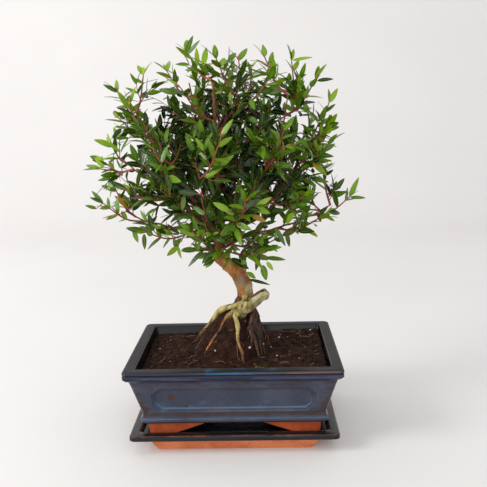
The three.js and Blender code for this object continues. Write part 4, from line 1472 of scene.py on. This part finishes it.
def inner_tips(draw):
    """Ends of the inner shoots, spread evenly through the crown."""
    tips = []
    steps = [int(reach // INNER_GRID) + 1 for reach in CANOPY_REACH]
    for column in range(-steps[0], steps[0] + 1):
        for row in range(-steps[1], steps[1] + 1):
            for level in range(-steps[2], steps[2] + 1):
                cell = Vector((column + level % 2 / 2, row + level % 2 / 2, level))
                tip = cell + Vector((draw(-0.3, 0.3), draw(-0.3, 0.3), draw(-0.3, 0.3)))
                tip = CANOPY_CENTRE + tip * INNER_GRID
                if crown_share(tip) < INNER_CROWN:
                    tips.append(tip)
    return tips


def inner_stem(tip, seats, draw):
    """The stem of an inner shoot and the number of the limb that it grows from."""

    def cost(entry):
        return abs((entry[1] - tip).length - 26) + max(0, entry[1].z + 8 - tip.z)

    limb, start = min(seats, key=cost)
    span = tip - start
    end = tip if span.length > 16 else start + span.normalized() * 16
    bow = Vector((draw(-0.1, 0.1), draw(-0.1, 0.1), -0.12)) * (end - start).length
    return limb, [start, (start + end) / 2 + bow, end]


def add_inner_shoot(bm, stem, draw):
    """A leafy shoot inside the crown."""
    pairs = 3 if (stem[2] - stem[0]).length < 24 else 5
    add_stem(bm, stem, [0.95, 0.75, 0.5], 5, 8)
    add_pairs(bm, stem, pairs, 0.3, draw, 0.62)
    for half in (0, math.pi):
        add_side_twig(bm, stem, draw(0.4, 0.8), draw(0, math.pi) + half, draw(0.6, 1), draw(10, 18), draw)


inner_draw = dice(CANOPY_SEED + 200)
inner_meshes = [leafy_mesh() for limb in range(len(BRANCHES) + 1)]
for tip in inner_tips(inner_draw):
    limb, stem = inner_stem(tip, limb_seats, inner_draw)
    add_inner_shoot(inner_meshes[limb], stem, inner_draw)
for index, inner_mesh in enumerate(inner_meshes):
    shoots = finish_leafy(f"inner_shoots_{index + 1:02d}", inner_mesh)
    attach(shoots, "root")

# Edge sprigs
# Single leaves that give the crown its ragged edge, and a few thin bare twigs for the ones that stand
# furthest out. The lowest of them hang beside the trunk and the stub.

EDGE_TWIGS = [
    [(-14, -4, 184), (-22, -9, 185), (-27, -12, 180)],
    [(-13, -5, 186), (-15, -10, 182), (-15, -12, 175)],
    [(-12, -4, 184), (8, -9, 188), (24, -9, 181), (33, -9, 168)],
    [(8, 4, 154), (14, -4, 156)],
    [(12, 6, 149), (15, -4, 149)],
    [(-81, -15, 200), (-87, -12, 203), (-93, -12, 201)],
    [(-60, -12, 203), (-58, -12, 197), (-55, -12, 192)],
    [(42, 0, 198), (49, -6, 199), (52, -8, 195)],
    [(-100, -6, 218), (-108, -6, 215)],
    [(-121, -10, 227), (-129, -4, 221)],
]

# Each is the leaf's stalk and tip, its width and its tone, from 0 for a dark leaf to 1 for a light one.
EDGE_LEAVES = [
    ((14, -4, 156), (22, -9, 151), 5.2, 0.6),
    ((15, -4, 149), (36, -9, 145), 3.6, 0.1),
    ((29, -9, 164), (32, -11, 149), 7, 0.5),
    ((33, -9, 167), (39, -11, 159), 4.6, 1),
    ((32, -9, 171), (51, -12, 170), 5, 0.45),
    ((26, -9, 175), (22, -12, 159), 4.6, 0.05),
    ((-1, -8, 171), (16, -14, 162), 7, 0.15),
    ((10, -10, 171), (13, -12, 160), 5.4, 0.55),
    ((-14, -12, 175), (-28, -16, 166), 6.2, 0.1),
    ((-17, -10, 173), (-26, -12, 163), 6.4, 0.65),
    ((-27, -12, 180), (-43, -14, 165), 5.2, 0.1),
    ((-93, -12, 201), (-89, -14, 189), 5, 0.5),
    ((-83, -12, 197), (-83, -14, 182), 4.6, 0.15),
    ((-55, -12, 192), (-51, -14, 180), 5, 0.3),
    ((52, -8, 195), (55, -9, 181), 4.6, 0.15),
    ((42, -10, 200), (51, -14, 183), 5, 0.3),
    ((-108, -6, 215), (-120, -8, 211), 4.2, 0.35),
    ((-129, -4, 221), (-139, -6, 225), 4, 0.4),
    ((-38, 0, 363), (-31, -4, 378), 4.8, 0.35),
    ((-36, -1, 362), (-25, -6, 374), 4.8, 0.3),
    ((34, -5, 357), (33, -4, 369), 4.6, 0.7),
    ((60, 0, 354), (78, -4, 357), 4.2, 0.8),
    ((81, -5, 336), (83, -6, 348), 4.6, 0.3),
    ((82, -5, 335), (97, -6, 337), 4.8, 0.15),
    ((112, -6, 228), (120, -10, 246), 5, 0.7),
    ((113, -5, 227), (127, -8, 227), 4, 0.5),
    ((-121, -10, 227), (-131, -10, 239), 4.4, 0.5),
    ((-102, -5, 329), (-115, -6, 337), 4.6, 0.25),
]

edge_leaves = leafy_mesh()
edge_draw = dice(611)
for path in EDGE_TWIGS:
    add_stem(edge_leaves, [Vector(station) for station in path], [0.6, 0.5, 0.4], 5, 10)
for stalk, end, width, fresh_and_lit in EDGE_LEAVES:
    base = Vector(stalk)
    along = Vector(end) - base
    length = along.length
    along.normalize()
    facing = Vector((edge_draw(-0.3, 0.3), -0.8, 0.6))
    facing = (facing - along * facing.dot(along)).normalized()
    add_leaf(edge_leaves, base, along, facing, length, width, length * 0.08, fresh_and_lit, 0)
edge_sprigs = finish_leafy("edge_sprigs", edge_leaves)
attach(edge_sprigs, "root")
bpy.data.meshes.remove(leaf_ball)

# Studio
# A pale floor that curves up into a wall, a broad soft light from the upper left and two weaker fills.
# None of it is part of the object.

FLOOR_HALF = 2600
FLOOR_FRONT = -1600
WALL_START = 1100
WALL_CURVE = 900
WALL_TOP = 3200


def studio_sweep():
    """The floor and the wall behind it in one soft bend."""
    bm = bmesh.new()
    front = [bm.verts.new((side * FLOOR_HALF, FLOOR_FRONT, 0)) for side in (-1, 1)]
    edges = [bm.edges.new(front)]
    profile = [(WALL_START, 0)]
    for number in range(1, 25):
        turn = number / 24 * math.pi / 2
        profile.append((WALL_START + WALL_CURVE * math.sin(turn), WALL_CURVE * (1 - math.cos(turn))))
    profile.append((WALL_START + WALL_CURVE, WALL_TOP))
    for y, z in profile:
        edges, ends = extrude_rim(bm, edges)
        for vert in ends:
            vert.co.yz = y, z
    return bm


def backdrop_material():
    """Matt off-white paint, a touch uneven."""
    material, tree, shader, points = start_material("pale_floor")
    uneven = step_up(tree, grain(tree, points, 2, 2.0), 0.3, 0.7)
    tone = blend(tree, uneven, colour(231, 229, 228), colour(228, 226, 225))
    tree.links.new(tone, shader.inputs["Base Color"])
    shader.inputs["Roughness"].default_value = 0.9
    return material


def soft_light(name, position, target, width, power, tint):
    """A square soft light that looks at a point. Positions are in millimetres."""
    lamp = bpy.data.lights.new(name, "AREA")
    lamp.size = width * MM
    lamp.energy = power
    lamp.color = tint
    lamp_object = bpy.data.objects.new(name, lamp)
    lamp_object.location = Vector(position) * MM
    aim = Vector(target) - Vector(position)
    lamp_object.rotation_euler = aim.to_track_quat("-Z", "Y").to_euler()
    bpy.context.scene.collection.objects.link(lamp_object)


floor = finish_piece("studio_floor", studio_sweep(), [backdrop_material()])
soft_light("main_light", (-1500, -700, 950), (0, 0, 160), 700, 20, (1.0, 0.995, 0.985))
soft_light("front_fill", (300, -1700, 800), (0, 0, 180), 1100, 9, (1.0, 1.0, 1.0))
soft_light("wall_light", (-1100, 500, 1500), (-900, 2000, 800), 900, 6.5, (1.0, 0.998, 0.995))

world = bpy.data.worlds.new("soft_room")
world.use_nodes = True
sky = world.node_tree.nodes["Background"]
sky.inputs["Color"].default_value = (1.0, 0.995, 0.99, 1)
sky.inputs["Strength"].default_value = 0.78
bpy.context.scene.world = world
bpy.context.scene.view_settings.view_transform = "Standard"

# Camera
# It stands in front of the tree, a little above its middle, and looks down at the pot.

CAMERA_PLACE = (26.4, -650.2, 304.8)
CAMERA_TURN = 1.37
CAMERA_DIP = 10.55
CAMERA_ROLL = -1.34

camera = bpy.data.cameras.new("camera")
camera.sensor_width = 36
camera.lens = 50.56
camera_object = bpy.data.objects.new("camera", camera)
turn = Matrix.Rotation(math.radians(CAMERA_TURN), 4, "Z")
pitch = Matrix.Rotation(math.radians(90 - CAMERA_DIP), 4, "X")
roll = Matrix.Rotation(math.radians(CAMERA_ROLL), 4, "Z")
camera_object.matrix_world = Matrix.Translation(Vector(CAMERA_PLACE) * MM) @ turn @ pitch @ roll
bpy.context.scene.collection.objects.link(camera_object)
bpy.context.scene.camera = camera_object
